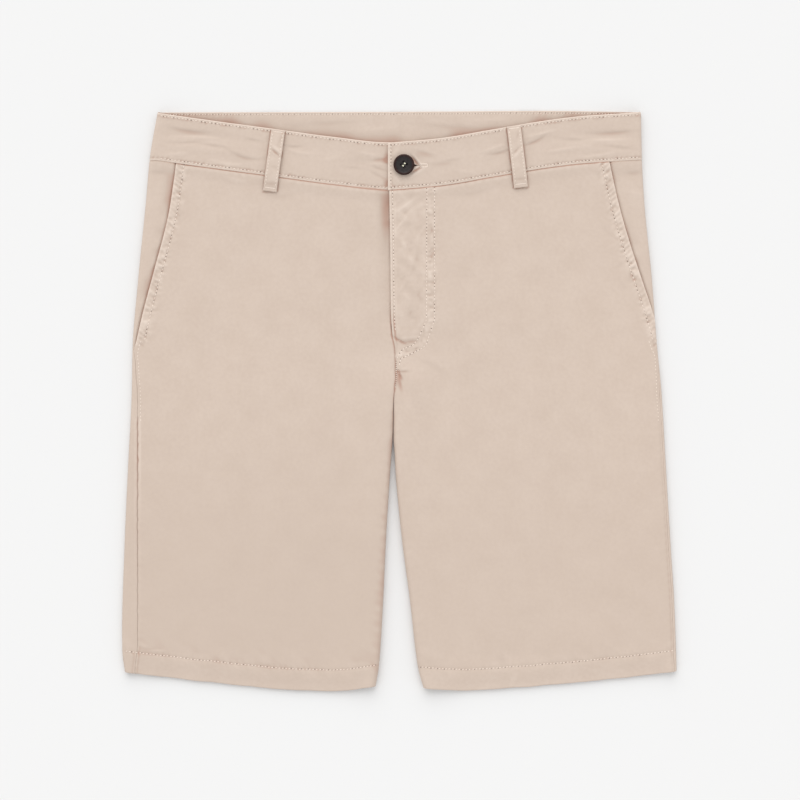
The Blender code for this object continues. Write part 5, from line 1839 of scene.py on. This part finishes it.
def button(horn, thread):
    """The turned button, its four stepped holes, and the thread that crosses them."""
    x, y = BUTTON_AT
    z = float(band_level["left"](x)) + BUTTON_GAP
    disc = lathe("button_face", button_profile(), BUTTON_STEPS)
    wide = THREAD_HOLE_RADIUS
    neck = THREAD_HOLE_NECK
    hole = ((wide, 6.0), (wide, THREAD_HOLE_STEP), (neck, THREAD_HOLE_STEP), (neck, -2.0))
    cutters = []
    for dx, dy in thread_hole_places():
        cutter = lathe("thread_hole", hole, THREAD_HOLE_STEPS)
        cutter.location = (dx * MM, dy * MM, 0.0)
        cutters.append(cutter)
    cut_away(disc, cutters)
    disc.data.set_sharp_from_angle(angle=math.radians(BUTTON_SHARP))
    disc.location = Vector((x, y, z)) * MM
    place_trim(disc, horn)
    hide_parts("button")
    threads = stitch_mesh("button_thread", button_threads(x, y, z), width=0.66, height=0.50, dip=0.5)
    place_trim(threads, thread)


def button_threads(x, y, z):
    """Two threads from each hole to the one beside it, a little below the middle of the face."""
    north, west, south, east = thread_hole_places()
    level = z + BUTTON_THICKNESS - BUTTON_DISH - 0.20
    upright = np.array(((0.0, 0.0, 1.0),))
    runs = []
    for ends in (np.array((north, east)), np.array((west, south))):
        span = float(np.linalg.norm(ends[1] - ends[0]))
        heading = unit(ends[1] - ends[0])
        for shift in (-0.30, 0.30):
            middle = 0.72 * ends.mean(axis=0) + shift * np.array((-heading[1], heading[0]))
            centre = np.array(((x + middle[0], y + middle[1], level),))
            along = np.array(((heading[0], heading[1], 0.0),))
            runs.append(Sewn(centre, along, upright, np.array((span - 1.5,)), np.zeros(1)))
    return runs


def open_buttonhole(band):
    """Cuts the slit between the buttonhole's lips, widest under the button."""
    x, y = BUTTON_AT

    def along_slit(points, sign):
        return [
            (x + dx, y + BUTTONHOLE_RISE * between(x + dx, x, x + 12.0) + sign * half) for dx, half in points
        ]

    flat = np.array(along_slit(BUTTONHOLE_SLIT, 1.0) + along_slit(BUTTONHOLE_SLIT[::-1], -1.0))[::-1]
    count = len(flat)
    points = np.concatenate((np.insert(flat, 2, 2.0, axis=1), np.insert(flat, 2, 14.0, axis=1)))
    around = np.arange(count)
    after = (around + 1) % count
    walls = stacked(around, after, after + count, around + count)
    cut_away(band, [mesh_object("slit", points, [walls, around[None, ::-1], around[None] + count])])


# ---- materials
def feed(tree, socket, value):
    """Links a socket to another, or sets it to a plain number or colour."""
    if hasattr(value, "is_output"):
        tree.links.new(value, socket)
    else:
        socket.default_value = (*value, 1.0) if isinstance(value, tuple) else value


def new_material(name, **values):
    """A material with plain values on its shader, named as its sockets are, with _ for a space."""
    material = bpy.data.materials.new(name)
    material.use_nodes = True
    shader = material.node_tree.nodes["Principled BSDF"]
    for socket, value in values.items():
        feed(material.node_tree, shader.inputs[socket.replace("_", " ")], value)
    return material, material.node_tree, shader


def math_node(tree, operation, *values):
    """A maths node, from sockets or plain numbers."""
    node = tree.nodes.new("ShaderNodeMath")
    node.operation = operation
    for socket, value in zip(node.inputs, values):
        feed(tree, socket, value)
    return node.outputs["Value"]


def noise(tree, vector, size, detail=2.0):
    """Noise whose bumps are about one size across, in millimetres."""
    node = tree.nodes.new("ShaderNodeTexNoise")
    node.inputs["Scale"].default_value = 1.0 / (size * MM)
    node.inputs["Detail"].default_value = detail
    tree.links.new(vector, node.inputs["Vector"])
    return node.outputs["Fac"]


def remap(tree, value, low, high, to_low, to_high):
    node = tree.nodes.new("ShaderNodeMapRange")
    for name, number in (("From Min", low), ("From Max", high), ("To Min", to_low), ("To Max", to_high)):
        node.inputs[name].default_value = number
    tree.links.new(value, node.inputs["Value"])
    return node.outputs["Result"]


def blend(tree, factor, first, second):
    """A colour mix, from sockets or plain colours."""
    node = tree.nodes.new("ShaderNodeMix")
    node.data_type = "RGBA"
    feed(tree, node.inputs["Factor"], factor)
    for name, value in (("A", first), ("B", second)):
        feed(tree, next(s for s in node.inputs if s.name == name and s.type == "RGBA"), value)
    return next(s for s in node.outputs if s.type == "RGBA")


def new_group(name, sockets):
    """An empty node group with named sockets: (name, in or out, socket type)."""
    group = bpy.data.node_groups.new(name, "ShaderNodeTree")
    for socket, direction, kind in sockets:
        group.interface.new_socket(socket, in_out=direction, socket_type=kind)
    return group, group.nodes.new("NodeGroupInput"), group.nodes.new("NodeGroupOutput")


def twill_weave_group():
    """Height of the twill's diagonal ribs and the yarns across them, from a place on the cloth."""
    group, inputs, outputs = new_group(
        "twill_weave", (("Place", "INPUT", "NodeSocketVector"), ("Height", "OUTPUT", "NodeSocketFloat"))
    )
    place = inputs.outputs["Place"]
    split = group.nodes.new("ShaderNodeSeparateXYZ")
    group.links.new(place, split.inputs["Vector"])

    def times(value, number):
        return math_node(group, "MULTIPLY", value, number)

    def plus(first, second):
        return math_node(group, "ADD", first, second)

    across = times(split.outputs["X"], TWILL_SLOPE[0])
    along = times(split.outputs["Y"], TWILL_SLOPE[1])
    wander = times(noise(group, place, 3.0), 1.2)
    turn = times(plus(across, along), 2 * math.pi / (TWILL_PITCH * MM))
    rib = math_node(group, "SINE", plus(turn, wander))
    yarn = math_node(group, "SINE", times(split.outputs["Y"], 2 * math.pi / (YARN_PITCH * MM)))
    height = plus(plus(rib, times(yarn, 0.35)), times(noise(group, place, 0.9, 3.0), 1.4))
    group.links.new(height, outputs.inputs["Height"])
    return group


def cloth_tone_group():
    """The cloth's colour: mottled, lighter with wear and painted highlight where it stands up, and deeper and
    pinker with painted shade where it sinks.
    """
    colours = ("Light cloth", "Dark cloth", "Shaded cloth", "Sunk cloth", "Worn cloth")
    group, inputs, outputs = new_group(
        "cloth_tone",
        (
            ("Place", "INPUT", "NodeSocketVector"),
            ("Wear", "INPUT", "NodeSocketFloat"),
            *((colour, "INPUT", "NodeSocketColor") for colour in colours),
            ("Color", "OUTPUT", "NodeSocketColor"),
        ),
    )
    place = inputs.outputs["Place"]
    wear_and_shade = inputs.outputs["Wear"]
    broad = math_node(group, "MULTIPLY", noise(group, place, 22.0, 3.0), 0.5)
    fine = math_node(group, "MULTIPLY", noise(group, place, 3.2, 3.0), 0.5)
    mottle = remap(group, math_node(group, "ADD", broad, fine), 0.36, 0.64, 0.0, 1.0)
    tone = blend(group, mottle, inputs.outputs["Dark cloth"], inputs.outputs["Light cloth"])
    for colour, none_at, full_at, most in CLOTH_WEAR_AND_SHADE:
        share = remap(group, wear_and_shade, none_at, full_at, 0.0, most)
        tone = blend(group, share, tone, inputs.outputs[colour])
    group.links.new(tone, outputs.inputs["Color"])
    return group


def use_group(tree, group, **links):
    node = tree.nodes.new("ShaderNodeGroup")
    node.node_tree = group
    for name, value in links.items():
        feed(tree, node.inputs[name.replace("_", " ")], value)
    return node.outputs[0]


def twill_material(name, weave, tone, light, dark, shaded, sunk, worn_and_painted_light):
    material, tree, shader = new_material(
        name, Roughness=0.88, Specular_IOR_Level=0.22, Sheen_Weight=0.12, Sheen_Roughness=0.6
    )
    cloth_map = tree.nodes.new("ShaderNodeUVMap")
    cloth_map.uv_map = "cloth"
    place = cloth_map.outputs["UV"]
    # the wear with painted light and shade that each piece carries on its points
    wear_and_shade = tree.nodes.new("ShaderNodeAttribute")
    wear_and_shade.attribute_name = "wear_and_shade"
    colour = use_group(
        tree, tone, Place=place, Wear=wear_and_shade.outputs["Fac"],
        Light_cloth=light, Dark_cloth=dark, Shaded_cloth=shaded, Sunk_cloth=sunk, Worn_cloth=worn_and_painted_light,
    )
    tree.links.new(colour, shader.inputs["Base Color"])
    bump = tree.nodes.new("ShaderNodeBump")
    bump.inputs["Strength"].default_value = 0.35
    bump.inputs["Distance"].default_value = 0.05 * MM
    tree.links.new(use_group(tree, weave, Place=place), bump.inputs["Height"])
    tree.links.new(bump.outputs["Normal"], shader.inputs["Normal"])
    return material


def thread_material(name, colour):
    return new_material(name, Base_Color=colour, Roughness=0.62, Sheen_Weight=0.2)[0]


def streaked(tree, streaks, low, high, colour, lighter):
    """A colour with lighter streaks."""
    return blend(tree, remap(tree, streaks, low, high, 0.0, 1.0), colour, tuple(lighter * c for c in colour))


def horn_material(name):
    """Polished dark horn: greyish in the dished face, redder on the rim, with faint streaks."""
    material, tree, shader = new_material(
        name, Roughness=0.38, Specular_IOR_Level=0.20, Coat_Weight=0.05, Coat_Roughness=0.2
    )
    place = tree.nodes.new("ShaderNodeTexCoord").outputs["Object"]
    flat = tree.nodes.new("ShaderNodeVectorMath")
    flat.operation = "MULTIPLY"
    flat.inputs[1].default_value = (1.0, 1.0, 0.0)
    tree.links.new(place, flat.inputs[0])
    reach = tree.nodes.new("ShaderNodeVectorMath")
    reach.operation = "LENGTH"
    tree.links.new(flat.outputs["Vector"], reach.inputs[0])
    rim_from = (BUTTON_RADIUS - 2.6) * MM
    rim = remap(tree, reach.outputs["Value"], rim_from, (BUTTON_RADIUS - 1.0) * MM, 0.0, 1.0)
    streaks = noise(tree, place, 2.2, 4.0)
    face = streaked(tree, streaks, 0.35, 0.65, HORN_FACE, HORN_STREAK[0])
    edge = streaked(tree, streaks, 0.40, 0.70, HORN_RIM, HORN_STREAK[1])
    tree.links.new(blend(tree, rim, face, edge), shader.inputs["Base Color"])
    return material


# ---- putting the pieces in place
def place_cloth(piece, node, material):
    """Puts a sheet of cloth in place of its plain solid."""
    piece.data.materials.append(material)
    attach(piece, "root")
    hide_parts(node)


def place_trim(piece, material):
    piece.data.materials.append(material)
    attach(piece, "root")


def build_cloth(twill):
    for side in SIDES:
        place_cloth(back_panel(side), f"back_{side}", twill)
        place_cloth(front_panel(side), f"front_{side}", twill)
        place_cloth(pocket_facing(side), f"pocket_facing_{side}", twill)
        place_cloth(front_loop(side), f"belt_loop_front_{side}", twill)
    place_cloth(band_back(), "waistband_back", twill)
    for name in BACK_LOOPS:
        place_cloth(back_loop(name), f"belt_loop_back_{name}", twill)
    for side in SIDES:
        name = f"waistband_front_{side}"
        band = band_front(side)
        if side == "left":
            open_buttonhole(band)
        place_cloth(band, name, twill)


def sew_piece(name, runs, thread, hole):
    """One part's topstitching, with the painted shade of the holes that the needle left between its stitches.
    """
    place_trim(stitch_mesh(f"stitches_{name}", runs), thread)
    if any(run.gap.any() for run in runs):
        place_trim(needle_hole_shades(f"needle_hole_shades_{name}", runs), hole)


def sew_pieces(thread, hole):
    """All the topstitching, in one mesh for each part of the garment."""
    for side in SIDES:
        sew_piece(f"front_{side}", body_stitches(side), thread, hole)
        sew_piece(f"waistband_{side}", band_stitches(side), thread, hole)
        sew_piece(f"loop_{side}", loop_stitches(side), thread, hole)
        sew_piece(f"back_{side}", back_stitches(side), thread, hole)
    sew_piece("waistband_back", band_back_stitches(), thread, hole)
    sew_piece("back_loops", [run for name in BACK_LOOPS for run in back_loop_stitches(name)], thread, hole)
    sew_piece("buttonhole", buttonhole_stitches(), thread, hole)


def lay_floor():
    """A large pale surface under the shorts."""
    corners = ((-1.0, -1.0), (1.0, -1.0), (1.0, 1.0), (-1.0, 1.0))
    points = np.array([(x * FLOOR_HALF, y * FLOOR_HALF, FLOOR_Z) for x, y in corners])
    floor = mesh_object("floor", points, [np.array(((0, 1, 2, 3),))])
    surface = new_material("pale_surface", Base_Color=FLOOR_COLOUR, Roughness=0.95, Specular_IOR_Level=0.1)[0]
    floor.data.materials.append(surface)


def light_scene():
    """A broad light from above the waist, and the pale room all round."""
    sun = bpy.data.lights.new("window_light", "SUN")
    sun.energy = SUN_STRENGTH
    sun.angle = math.radians(SUN_SPREAD)
    sun.color = SUN_COLOUR
    lamp = bpy.data.objects.new("window_light", sun)
    elevation, bearing = (math.radians(angle) for angle in SUN_FROM)
    level = math.cos(elevation)
    towards = Vector((level * math.sin(bearing), level * math.cos(bearing), math.sin(elevation)))
    lamp.rotation_euler = towards.to_track_quat("Z", "Y").to_euler()
    bpy.context.scene.collection.objects.link(lamp)
    world = bpy.data.worlds.new("room")
    world.use_nodes = True
    background = world.node_tree.nodes["Background"]
    background.inputs["Color"].default_value = (1.0, 1.0, 1.0, 1.0)
    background.inputs["Strength"].default_value = ROOM_STRENGTH
    bpy.context.scene.world = world


def aim_camera():
    """Straight above the shorts, with the waist at the top of the picture."""
    camera = bpy.data.cameras.new("camera")
    camera.lens = CAMERA_LENS
    camera.sensor_width = CAMERA_SENSOR
    camera.clip_start, camera.clip_end = CAMERA_CLIP
    eye = bpy.data.objects.new("camera", camera)
    eye.location = [size * MM for size in CAMERA_AT]
    eye.rotation_euler = (0.0, 0.0, 0.0)
    bpy.context.scene.collection.objects.link(eye)
    bpy.context.scene.camera = eye
    bpy.context.scene.view_settings.view_transform = "Standard"


def main():
    weave = twill_weave_group()
    tone = cloth_tone_group()
    colours = (CLOTH_LIGHT, CLOTH_DARK, CLOTH_SHADED, CLOTH_DEEP_SHADE, CLOTH_WORN_AND_LIT)
    build_cloth(twill_material("cotton_twill", weave, tone, *colours))
    thread = thread_material("sewing_thread", THREAD)
    sew_pieces(thread, thread_material("needle_hole_shade", NEEDLE_HOLE_SHADE))
    button(horn_material("dark_horn"), thread_material("button_thread", BUTTON_THREAD))
    lay_floor()
    light_scene()
    aim_camera()


main()
